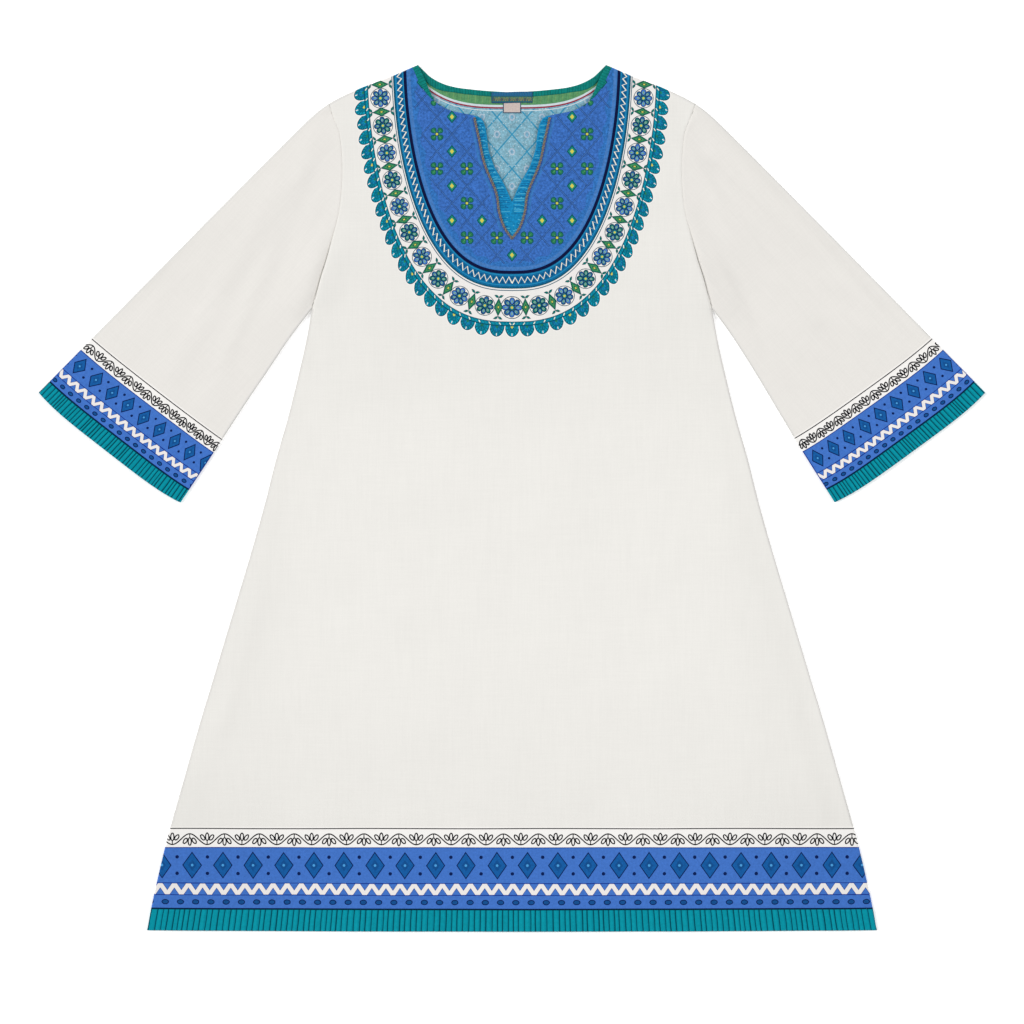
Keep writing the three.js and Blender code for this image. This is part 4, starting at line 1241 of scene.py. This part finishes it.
def sleeve_loop(sign, front):
    arm = ARMHOLE_LINE[::-1]  # from the top fold down to the underarm
    if front:
        c = lengths(arm)
        take = 5.0 * smooth((c - 3) / 10) * smooth((c[-1] - 3 - c) / 10)
        g = np.gradient(arm, axis=0)
        g /= np.linalg.norm(g, axis=1)[:, None]
        arm = arm + np.stack([g[:, 1], -g[:, 0]], 1) * take[:, None]  # towards the middle of the body
    arm = mirror(arm, sign)
    width = CUFF_WIDTH[sign]
    end = {w: sleeve_end(sign, w, CUFF_EDGING) for w in (0.0, 1.0)}
    low = sleeve_xy(sign, np.linspace(0, end[1.0], 22)[1:], 1.0)
    top = sleeve_xy(sign, np.linspace(0, end[0.0], 34)[1:], 0.0)
    if front:
        u = np.linspace(width - 2.6, 2.6, 22)
        cuff = cuff_xy(sign, u, CUFF_EDGING - 4.0)
    else:
        u = np.linspace(width, 0, 24)[1:-1]
        cuff = cuff_xy(sign, u, CUFF_EDGING)
    return np.vstack([arm, low, cuff, top[::-1]])


def sleeve_end(sign, w, v):
    run = float(np.linalg.norm(sleeve_xy(sign, 0.0, w) - sleeve_xy(sign, 1.0, w)))
    return 1 - v / run


def cuff_loop(sign):
    width = CUFF_WIDTH[sign]
    a, b = sleeve_end(sign, 0.0, CUFF_EDGING), sleeve_end(sign, 1.0, CUFF_EDGING)
    edge = cuff_xy(sign, np.linspace(0, width, 30), 0.0)
    seam = cuff_xy(sign, np.linspace(width, 0, 30), CUFF_EDGING)
    return np.vstack([edge, sleeve_xy(sign, np.linspace(1, b, 4)[1:-1], 1.0), seam, sleeve_xy(sign, np.linspace(a, 1, 4)[1:-1], 0.0)])


# ---------------------------------------------------------------- heights of the edgings and bindings
def dip(gap, depth=1.0, reach=1.1):
    return depth * (1 - rise(gap, reach) / reach)


def rolled(gap, r=0.9):
    """The soft turn at an open edge."""
    return 0.5 * (1 - rise(gap, r) / r)


def hem_front(p):
    d = inside(p)
    gap = np.abs(p[:, 1] - seam_y(p[:, 0]))
    edge = p[:, 1] - hem_y(p[:, 0], 0)
    top = FOLD_R + rise(d, FOLD_R) + drape(p, d) + 0.10 * smooth(d / 3)
    low = np.maximum(top - 0.75, np.where(d > 1.2, FOLD_R + 0.45, FOLD_R + 0.02))
    top = top - dip(gap, 0.9) * smooth(d / 3) - rolled(edge) * smooth(d / 2)
    return np.maximum(top, np.minimum(low, top) + 0.0), np.minimum(low, top - 0.05)


def hem_back(p):
    d = inside(p)
    gap = np.abs(p[:, 1] - seam_y(p[:, 0]))
    low = FOLD_R - rise(d, FOLD_R)
    top = np.minimum(low + 0.75 + 0.3 * smooth(d / 4), FOLD_R - 0.02) - dip(gap, 0.3) * smooth(d / 3)
    edge = p[:, 1] - hem_y(p[:, 0], 0)
    return np.maximum(top - 0.4 * rolled(edge), low + 0.05), low


def cuff_faces(sign):
    seam = cuff_xy(sign, np.linspace(-2, CUFF_WIDTH[sign] + 2, 30), CUFF_EDGING)
    edge = cuff_xy(sign, np.linspace(-2, CUFF_WIDTH[sign] + 2, 30), 0.0)

    def front(p):
        d = inside_cuff(p, sign)
        top = FOLD_R + rise(d, FOLD_R) + drape(p, np.maximum(d, 0)) + 0.10 * smooth(d / 3)
        low = np.maximum(top - 0.75, np.where(d > 1.2, FOLD_R + 0.45, FOLD_R + 0.02))
        top = top - dip(distance(p, seam), 0.9) * smooth(d / 3) - rolled(distance(p, edge)) * smooth(d / 2)
        return top, np.minimum(low, top - 0.05)

    def back(p):
        d = inside_cuff(p, sign)
        low = FOLD_R - rise(d, FOLD_R)
        top = np.minimum(low + 0.75 + 0.3 * smooth(d / 4), FOLD_R - 0.02) - dip(distance(p, seam), 0.3) * smooth(d / 3)
        return np.maximum(top - 0.4 * rolled(distance(p, edge)), low + 0.05), low

    return front, back


def inside_cuff(p, sign):
    """Distance to the two folds of a sleeve, run on straight past the cuff."""
    q = mirror(p, sign)
    t, u = SLEEVE_TOP_LINE, UNDER_LINE[sign]
    t = np.vstack([t, t[-1] + (t[-1] - t[-2]) * 3])
    u = np.vstack([u, u[-1] + (u[-1] - u[-2]) * 3])
    return np.minimum(distance(q, t), distance(q, u))


def sleeve_front_of(sign):
    seam = cuff_xy(sign, np.linspace(-3, CUFF_WIDTH[sign] + 3, 30), CUFF_EDGING)
    mid = cuff_xy(sign, CUFF_WIDTH[sign] / 2, 0.0)

    def face(p):
        top, low = sleeve_front(p)
        gap = distance(p, seam)
        a, b = seam[0], seam[-1]
        cross = (b[0] - a[0]) * (p[:, 1] - a[1]) - (b[1] - a[1]) * (p[:, 0] - a[0])
        side = (b[0] - a[0]) * (mid[1] - a[1]) - (b[1] - a[1]) * (mid[0] - a[0])
        # the seam line bows, so the side is told by the nearest stretch of it
        k = np.abs(p[:, None, :] - seam[None]).sum(2).argmin(1).clip(1, len(seam) - 2)
        t = seam[k + 1] - seam[k - 1]
        cross = t[:, 0] * (p[:, 1] - seam[k][:, 1]) - t[:, 1] * (p[:, 0] - seam[k][:, 0])
        beyond = (np.sign(cross) == np.sign(side)) & (gap > 0.05)
        d = inside(p)
        top = np.where(gap < 1.1, top - dip(gap, 0.9) * smooth(d / 3), top)
        top = np.where(beyond, np.minimum(top, FOLD_R + 0.3), top)
        return top, np.minimum(low, top - 0.04)

    return face


# ---------------------------------------------------------------- drawings for each piece
def paint_fold_shade(board, lines):
    """Painted shade: strokes that darken the cloth along its folded edges."""
    for line in lines:
        board.stroke(line, 5.0, "fold_shade_soft")
    for line in lines:
        board.stroke(line, 2.5, "fold")


def hem_board(rng):
    b = Board()
    paint_fold_shade(b, [mirror(SIDE_LINE, s) for s in (1, -1)] + [mirror(SHOULDER_LINE, s) for s in (1, -1)])
    border(b, lambda u, v: np.stack([np.asarray(u, float) - 402.0, hem_y(np.asarray(u, float) - 402.0, v)], -1), 804.0, HEM_BANDS, rng)
    return b


def cuff_board(sign, rng):
    b = Board()
    paint_fold_shade(b, [mirror(SLEEVE_TOP_LINE, sign), mirror(UNDER_LINE[sign], sign)])
    # painted shade along the cuff's two folded edges, in dark blue across its printed bands
    fold_shade_ends = [cuff_xy(sign, np.full(9, u), np.linspace(CUFF_BANDS["teal"], CUFF_BANDS["upper"], 9)) for u in (0.0, CUFF_WIDTH[sign])]
    border(b, lambda u, v: cuff_xy(sign, u, v), CUFF_WIDTH[sign], CUFF_BANDS, rng, flip=sign > 0)
    for q in fold_shade_ends:
        b.stroke(q, 1.8, "royal_edge")
    return b


def ribs(board, xy, length, depth, rng, pitch, lean=0.0, uneven=0.16):
    """Narrow ribs across an edging, painted: a dark line of painted shade between each two, a painted shaded side on
    each, and on most a painted highlight.
    """
    u = np.arange(-8, length + 8.1, 6.0)
    board.fill(np.vstack([xy(u, u * 0 - 3), xy(u, u * 0 + depth + 4)[::-1]]), "rib")
    x = -4.0
    while x < length + 4:
        w = pitch * rng.uniform(1 - uneven, 1 + uneven)
        tilt = lean * (2 * x / length - 1)

        def line(x0, bend):
            v = np.linspace(-1, depth + 2, 5)
            return xy(x0 - tilt * v / depth + bend * np.sin(v / depth * math.pi), v)

        board.stroke(line(x + 0.84 * w, 0.0), 0.18 * w, "rib_shade_side")
        if rng.random() < 0.8:
            board.stroke(line(x + 0.40 * w, rng.uniform(-0.2, 0.2)), rng.uniform(0.16, 0.36) * w, "rib_highlight")
        board.stroke(line(x, rng.uniform(-0.35, 0.35)), rng.uniform(0.85, 1.35), "rib_groove_shade")
        x += w
    # painted shade along the seam at the top of the ribs
    board.stroke(xy(u, u * 0 + depth - 0.4), 0.8, "rib_groove_shade")


def inside_board(rng):
    """The wrong side of the back neck: its lattice showing through, pale and soft, under a plain green band."""
    b = Board()
    b.fill(np.array([(-128, 500), (-128, 236), (128, 236), (128, 500)]), "in_pale")
    w, h, top = 16.5, 19.0, 476.0
    for j in range(1, 12):
        for i in range(-6, 7):
            x, y = i * w, top - j * h
            if (i + j) % 2 == 0:
                for e in (-1, 1):
                    b.stroke(np.array([(x, y), (x + e * w / 2, y - h / 2), (x + e * w, y - h)]), 1.5, "in_line")
            else:
                b.fill(oval(x, y, 3.4, 4.2, n=12, rng=rng, wobble=0.05), "in_edge")
                b.fill(oval(x, y, 1.9, 2.4, n=10, rng=rng, wobble=0.05), "in_blue")
    for s in (1, -1):
        spots = []
        for p in rng.uniform((1, 300), (66, 450), (1100, 2)):
            if all((p[0] - q[0]) ** 2 + (p[1] - q[1]) ** 2 > 4.6 for q in spots):
                spots.append(p)
                b.fill(mirror(oval(*p, rng.uniform(0.4, 0.85), rng.uniform(0.35, 0.6), rng.uniform(0, 3), n=4), s), "in_white" if rng.random() < 0.55 else "in_speck")
    x = np.linspace(-112, 112, 75)

    def below(depth):
        """A line that runs parallel to the back neck, this far under it."""
        return np.column_stack([x, 446.3 - depth + 30.0 * np.abs(x / 103.0) ** 3.4])

    b.fill(np.vstack([below(14.0), [(118, 500), (-118, 500)]]), "in_green")
    for k in range(-26, 27):  # small soft stripes of the weave in the green
        q = np.array([4.0 * k, 446.3 + 30.0 * abs(4.0 * k / 103.0) ** 3.4])
        b.stroke(np.array([q - (0.6, 12.6), q - (-0.6, 1.0)]), 0.7, "in_green_dark" if k % 2 else "in_olive")
    b.stroke(below(15.2), 2.4, "in_white")
    b.stroke(below(17.2), 1.7, "in_red")
    b.stroke(below(20.2), 1.0, "in_white")
    return b


def back_neck_board(board, rng):
    """The same bands on the outside of the back, round a shallow neck."""
    rails = {k: Rails(arches(BACK_ARCHES), k) for k in (1, -1)}
    bands(board, rails, rng)
    n = rails[1].inner(np.linspace(0, rails[1].total, 60), np.zeros(60))
    poly = np.vstack([n, mirror(n)[::-1][1:], [(-110, 520), (110, 520)]])
    for inset, ink in ((0, "yoke_edge"), (5, "yoke_mid"), (9, "yoke")):
        board.fill(poly * ((118 - inset) / 118, 1) + (0, inset), ink)
    lattice(board, rails, None, rng)
    board.stroke(np.vstack([n, mirror(n)[::-1][1:]]), 3.1 * U, "navy")


def bind_board(line_a, line_b, rng, pitch=3.1):
    """Fine ribs across a binding that runs between two lines."""
    b = Board()
    n = int(lengths(line_a)[-1] / pitch)
    for i in range(n + 1):
        t = np.clip((i + rng.uniform(-0.15, 0.15)) / n, 0, 1)
        p, q = along(line_a, [t])[0], along(line_b, [t])[0]
        e = (q - p) * 0.3
        b.stroke(np.array([p - e, q + e]), rng.uniform(0.5, 0.8), "bind_dark")
    return b


# ---------------------------------------------------------------- the pieces
ROOT = "root"
rng = np.random.default_rng(7)
ROWS = (0.35, 0.9, 1.7, 2.6, 3.8)


def sheet_of(ob, nodes):
    """Attaches one flat piece of cloth to the root and hides the model's parts that it stands for. A cut narrower than
    10 mm is stated as 10 mm, the least allowed.
    """
    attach(ob, ROOT)
    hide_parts(*nodes)
    return ob


def add_guides(board, lines, clip=None):
    for q in lines:
        board.guides.append(q)


def front_cloth():
    b = hem_board(np.random.default_rng(11))
    neck_print(b, np.random.default_rng(23))
    for dy in (0.0, 0.35, 0.9, 1.7, 2.8):
        q = seam_line(70, dy)
        add_guides(b, [q[np.abs(q[:, 0]) < side_at(q[:, 1]) - 0.4]])
    c = Cloth()
    c.layer(whole(body_half(True)), body_front, b, None, grid=7.2, rows=ROWS)
    ob = c.mesh("front_cloth", [COTTON])
    return sheet_of(ob, ["front_panel"])


def back_cloth():
    b = hem_board(np.random.default_rng(12))
    back_neck_board(b, np.random.default_rng(29))
    c = Cloth()
    c.layer(whole(body_half(False)), body_back, inside_board(np.random.default_rng(31)), b, grid=9.0, coarse=16.0, rows=(0.5, 1.7, 3.8))
    ob = c.mesh("back_cloth", [COTTON])
    return sheet_of(ob, ["back_panel"])


def sleeve(sign, node):
    c = Cloth()
    b = cuff_board(sign, np.random.default_rng(40 + sign))
    arm = mirror(ARMHOLE_LINE, sign)
    lines = [offset_line(arm, -sign * d)[3:-3] for d in (0.0, 0.5, 1.1, 1.9, 2.8)]
    lines += [offset_line(arm, -sign * d)[6:-6] for d in (4.5, 6.5, 9.0, 12.0)]
    w = CUFF_WIDTH[sign]
    lines += [cuff_xy(sign, np.linspace(2.6, w - 2.6, 30), CUFF_EDGING + d) for d in (0.0, 0.4, 1.0, 1.8)]
    add_guides(b, lines)
    # the sleeves' ground is the cloth painted a little darker as shade, the left sleeve darker still
    c.layer(sleeve_loop(sign, True), sleeve_front_of(sign), b, None, grid=6.0, rows=ROWS, ground="sleeve" if sign < 0 else "sleeve_far_shaded")
    back = cuff_board(sign, np.random.default_rng(50 + sign))
    c.layer(sleeve_loop(sign, False), sleeve_back, None, back, grid=12.0, coarse=12.0, rows=(0.5, 1.7, 3.8), ground="sleeve" if sign < 0 else "sleeve_far_shaded")
    ob = c.mesh("sleeve_cloth_left" if sign > 0 else "sleeve_cloth_right", [COTTON_L if sign > 0 else COTTON_R])
    return sheet_of(ob, [node])


def hem_edge():
    c = Cloth()
    x0 = float(side_at(-476.4))
    bottom = np.column_stack([np.linspace(-x0, x0, 110), hem_y(np.linspace(-x0, x0, 110), 0.0)])
    side = np.array([(side_at(y), y) for y in np.linspace(-470, SEAM_TOP - 6, 4)])
    top = seam_line(110)[::-1]
    loop = np.vstack([bottom, side, top, mirror(side)[::-1]])
    for faces, seed, up in ((hem_front, 61, True), (hem_back, 62, False)):
        b = Board()
        ribs(b, lambda u, v: np.stack([u - 402.0, hem_y(u - 402.0, v)], -1), 804.0, 24.3, np.random.default_rng(seed), 6.2, 4.2)
        c.layer(loop, faces, b if up else None, None if up else b, grid=6.0, coarse=12.0, rows=(0.35, 0.9, 1.7, 2.6), ground="rib")
    ob = c.mesh("hem_band", [EDGING])
    return sheet_of(ob, ["hem_edging"])


def cuff_edge(sign, node):
    c = Cloth()
    front, back = cuff_faces(sign)
    for faces, seed, up in ((front, 63, True), (back, 64, False)):
        b = Board()
        ribs(b, lambda u, v: cuff_xy(sign, u, v), CUFF_WIDTH[sign], CUFF_EDGING, np.random.default_rng(seed + sign), 4.15, 0.0, 0.34)
        c.layer(cuff_loop(sign), faces, b if up else None, None if up else b, grid=5.0, coarse=10.0, rows=(0.35, 0.9, 1.7, 2.6), ground="rib")
    ob = c.mesh("cuff_band_left" if sign > 0 else "cuff_band_right", [EDGING])
    return sheet_of(ob, [node])


def front_binding(sign, node):
    inner, outer = mirror(curve(BINDING_EDGE, 2.5), sign), mirror(curve(BINDING_SEAM, 2.5), sign)
    loop = ccw(np.vstack([inner, outer[::-1]]))
    ring = np.vstack([loop, loop[:1]])

    def face(p):
        d, e = inside(p), distance(p, ring)
        base = FOLD_R + rise(d, FOLD_R) + drape(p, d)
        top = base - 0.12 + 0.5 * rise(e, 2.0) / 2.0 * smooth(d / 1.5 + 0.2)
        return top, np.maximum(np.minimum(base - 0.5, top - 0.1), FOLD_R + 0.02 * smooth(d))

    c = Cloth()
    c.layer(loop, face, bind_board(inner, outer, np.random.default_rng(70 + sign)), None, grid=1.6, coarse=3.0, rows=(0.4, 1.1, 2.0), ground="bind")
    ob = c.mesh("binding_front_left" if sign > 0 else "binding_front_right", [BIND])
    return sheet_of(ob, [node])


def back_binding():
    half = BACK_NECK_LINE
    outer = np.vstack([mirror(half)[::-1][:-1], half])
    inner = outer - np.column_stack([0 * outer[:, 0], BINDING_BACK + 0.5 + 3.4 * smooth((np.abs(outer[:, 0]) - 62) / 26)])
    loop = ccw(np.vstack([outer, inner[::-1]]))
    ring = np.vstack([loop, loop[:1]])

    def face(p):
        d, e = inside(p), distance(p, ring)
        base = body_back(p)[0]
        top = base + (0.12 + 0.6 * rise(e, 1.9) / 1.9) * smooth(d / 2.5)
        return np.maximum(top, base + 0.03), base + 0.01

    c = Cloth()
    c.layer(loop, face, bind_board(outer, inner, np.random.default_rng(73)), None, grid=1.8, coarse=3.0, rows=(0.4, 1.1, 1.9), ground="bind")
    ob = c.mesh("binding_back", [BIND])
    return sheet_of(ob, ["neck_binding_back"])


def braid():
    """Two plied strands twisted round each other along the slit."""
    half = curve(BRAID, 2.0)
    path = np.vstack([mirror(half), half[::-1][1:]])
    path = evenly(path, 5.2 / 12)
    z = body_front(path)[0] + 0.66
    k = np.ones(9) / 9
    z = np.convolve(np.pad(z, 4, mode="edge"), k, mode="valid")
    t = np.gradient(path, axis=0)
    t /= np.linalg.norm(t, axis=1)[:, None]
    n = np.stack([-t[:, 1], t[:, 0]], 1)
    s = lengths(path)
    v, f, ink = [], [], []
    sides, base = 8, 0
    for strand, colours in ((0.0, ("ply_a", "ply_b")), (math.pi, ("ply_c", "ply_d"))):
        a = s / 5.2 * 2 * math.pi + strand + 0.25 * np.sin(s * 0.19)
        x = path + n * (0.72 * np.cos(a))[:, None]
        zz = z + 0.52 * np.sin(a)
        ph = np.arange(sides) / sides * 2 * math.pi
        rings = []
        for i in range(len(path)):
            r = 0.80 * (1 + 0.05 * math.sin(s[i] * 2.3 + strand))
            cx = x[i] + n[i] * (r * np.cos(ph))[:, None]
            rings.append(np.column_stack([cx, zz[i] + 0.8 * r * np.sin(ph)]))
        v.append(np.vstack(rings))
        m = len(path)
        i, j = np.meshgrid(np.arange(m - 1), np.arange(sides), indexing="ij")
        a0, a1 = i * sides + j, i * sides + (j + 1) % sides
        b0, b1 = a0 + sides, a1 + sides
        quads = np.concatenate([np.stack([a0, b0, b1], -1).reshape(-1, 3), np.stack([a0, b1, a1], -1).reshape(-1, 3)])
        twist = ((i * 2 + j * 3) // 6) % 2
        shade = np.where(twist.ravel() == 0, INK_NAMES.index(colours[0]), INK_NAMES.index(colours[1]))
        caps = [(0, k, (k + 1) % sides) for k in range(1, sides - 1)]
        caps = [(0, k + 1, k) for k in range(1, sides - 1)] + [((m - 1) * sides, (m - 1) * sides + k, (m - 1) * sides + k + 1) for k in range(1, sides - 1)]
        f.append(np.vstack([quads, np.array(caps)]) + base)
        ink.append(np.concatenate([shade, shade, np.full(len(caps), INK_NAMES.index(colours[0]))]))
        base += m * sides
    v, f = np.vstack(v), np.vstack(f)
    flip_if_inside_out(v, f)
    ob = make_mesh("slit_cord", v, f, np.concatenate(ink), [CORD], 70)
    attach(ob, ROOT)
    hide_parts("slit_braid")
    return ob


def flip_if_inside_out(v, f):
    a, b, c = v[f[:, 0]], v[f[:, 1]], v[f[:, 2]]
    if (np.cross(a, b) * c).sum() < 0:
        f[:, [1, 2]] = f[:, [2, 1]]


def label():
    b = Board()
    w, y0, y1 = 22.4, 434.6, 446.6
    b.fill(np.array([(-w - 2, y0 - 2), (w + 2, y0 - 2), (w + 2, y1 + 2), (-w - 2, y1 + 2)]), "label_edge")
    b.fill(np.array([(-w + 0.8, y0 + 0.9), (w - 0.8, y0 + 0.9), (w - 0.8, y0 + 7.4), (-w + 0.8, y0 + 7.4)]), "label_green")
    b.fill(np.array([(-w + 0.8, y0 + 7.8), (w - 0.8, y0 + 7.8), (w - 0.8, y1 - 0.6), (-w + 0.8, y1 - 0.6)]), "label_blue")
    r = np.random.default_rng(81)
    for k in range(15):  # an even woven zigzag
        x = -w + 2.4 + k * (2 * w - 4.8) / 14
        b.stroke(np.array([(x - 1.2, y0 + 2.2), (x, y0 + 5.8 + r.uniform(-0.4, 0.4)), (x + 1.2, y0 + 2.2)]), 0.8, "label_gold" if k % 3 else "label_brown")
        b.stroke(np.array([(x + 0.5, y0 + 6.3), (x + 1.5, y0 + 4.4), (x + 2.4, y0 + 6.3)]), 0.6, "label_lime")
        b.stroke(np.array([(x - 0.4, y0 + 8.6), (x - 0.4, y1 - 1.2)]), 0.5, "label_edge")
    loop = densify(np.array([(-w, y0), (w, y0), (w + 0.3, y1), (-w - 0.3, y1)]), 3.0)
    loop = loop + np.column_stack([np.zeros(len(loop)), 0.35 * np.sin(loop[:, 0] * 0.11)])
    ring = np.vstack([loop, loop[:1]])

    def face(p):
        lift = 1.70 + 0.50 * smooth((p[:, 1] - 439.4) / 2.2) + 0.2 * smooth((438 - p[:, 1]) / 5) * (1 + 0.5 * np.sin(p[:, 0] * 0.13 + 0.6))
        e = distance(p, ring)
        return lift + 0.34 - 0.1 * (1 - rise(e, 0.6) / 0.6), lift

    c = Cloth()
    c.layer(ccw(loop), face, b, None, grid=1.8, coarse=3.5, rows=(0.3, 0.8), ground="label_edge")
    ob = c.mesh("blank_label", [WOVEN])
    return sheet_of(ob, ["neck_label"])


def tag():
    b = Board()
    w, y0, y1 = 9.8, 423.4, 434.6
    b.fill(np.array([(-w - 1, y0 - 1), (w + 1, y0 - 1), (w + 1, y1), (-w - 1, y1)]), "tag_edge")
    b.fill(np.array([(-w + 0.9, y0 + 0.9), (w - 0.9, y0 + 0.9), (w - 0.9, y1), (-w + 0.9, y1)]), "tag")
    for k in range(7):  # the crossing threads of its weave
        b.stroke(np.array([(-w + 1.6, y0 + 2.2 + 1.25 * k), (w - 1.6, y0 + 2.2 + 1.25 * k)]), 0.30, "tag_thread")
    loop = densify(np.array([(-w, y0), (w, y0), (w, y1), (-w, y1)]), 2.5)
    ring = np.vstack([loop, loop[:1]])

    def face(p):
        lift = 1.52 + 0.4 * smooth((y1 - 1.6 - p[:, 1]) / 8) * (1 + 0.25 * np.sin(p[:, 0] * 0.3))
        lift = np.where(p[:, 1] > 432.6, np.minimum(lift, 1.56), lift)
        return lift + 0.22 - 0.06 * (1 - rise(distance(p, ring), 0.5) / 0.5) - 0.12 * (p[:, 1] > 432.8), lift - 0.0

    c = Cloth()
    c.layer(ccw(loop), face, b, None, grid=1.8, coarse=3.0, rows=(0.3, 0.8), ground="tag_edge")
    ob = c.mesh("blank_tag", [TAPE])
    return sheet_of(ob, ["care_tag"])


front_cloth()
back_cloth()
sleeve(1, "sleeve_left")
sleeve(-1, "sleeve_right")
hem_edge()
cuff_edge(1, "cuff_edging_left")
cuff_edge(-1, "cuff_edging_right")
front_binding(1, "neck_binding_front_left")
front_binding(-1, "neck_binding_front_right")
back_binding()
braid()
label()
tag()


# ---------------------------------------------------------------- table, lamps and camera
def floor_and_light():
    me = bpy.data.meshes.new("floor")
    me.from_pydata([(-6, -6, -0.0004), (6, -6, -0.0004), (6, 6, -0.0004), (-6, 6, -0.0004)], [], [(0, 1, 2, 3)])
    ob = bpy.data.objects.new("floor", me)
    bpy.context.scene.collection.objects.link(ob)
    m = bpy.data.materials.new("white_table")
    m.use_nodes = True
    s = m.node_tree.nodes["Principled BSDF"]
    s.inputs["Base Color"].default_value = (0.94, 0.94, 0.94, 1)
    s.inputs["Roughness"].default_value = 0.9
    s.inputs["Specular IOR Level"].default_value = 0.0
    s.inputs["Emission Color"].default_value = (1, 1, 1, 1)
    s.inputs["Emission Strength"].default_value = 0.29
    me.materials.append(m)
    world = bpy.data.worlds.new("soft_room")
    bpy.context.scene.world = world
    world.use_nodes = True
    bg = world.node_tree.nodes["Background"]
    bg.inputs["Color"].default_value = (1, 1, 1, 1)
    bg.inputs["Strength"].default_value = 0.34
    for name, side, elevation, part in (("lamp_left", -1, 36, 0.43), ("lamp_right", 1, 36, 0.31)):
        lamp = bpy.data.lights.new(name, "SUN")
        e = math.radians(elevation)
        lamp.energy = part * math.pi / math.sin(e)
        lamp.angle = math.radians(38)
        ob = bpy.data.objects.new(name, lamp)
        direction = Vector((side * math.cos(e), 0.22 * math.cos(e), math.sin(e))).normalized()
        ob.rotation_euler = direction.to_track_quat("Z", "Y").to_euler()
        ob.location = direction * 3
        bpy.context.scene.collection.objects.link(ob)
    bpy.context.scene.view_settings.view_transform = "Standard"
    cam = bpy.data.cameras.new("camera")
    cam.lens, cam.sensor_width, cam.sensor_fit = 100.0, 36.0, "HORIZONTAL"
    cam.clip_end = 20
    ob = bpy.data.objects.new("camera", cam)
    ob.location = (0.0, -0.0152, 3.129)
    ob.rotation_euler = (0, 0, 0)
    bpy.context.scene.collection.objects.link(ob)
    bpy.context.scene.camera = ob


floor_and_light()
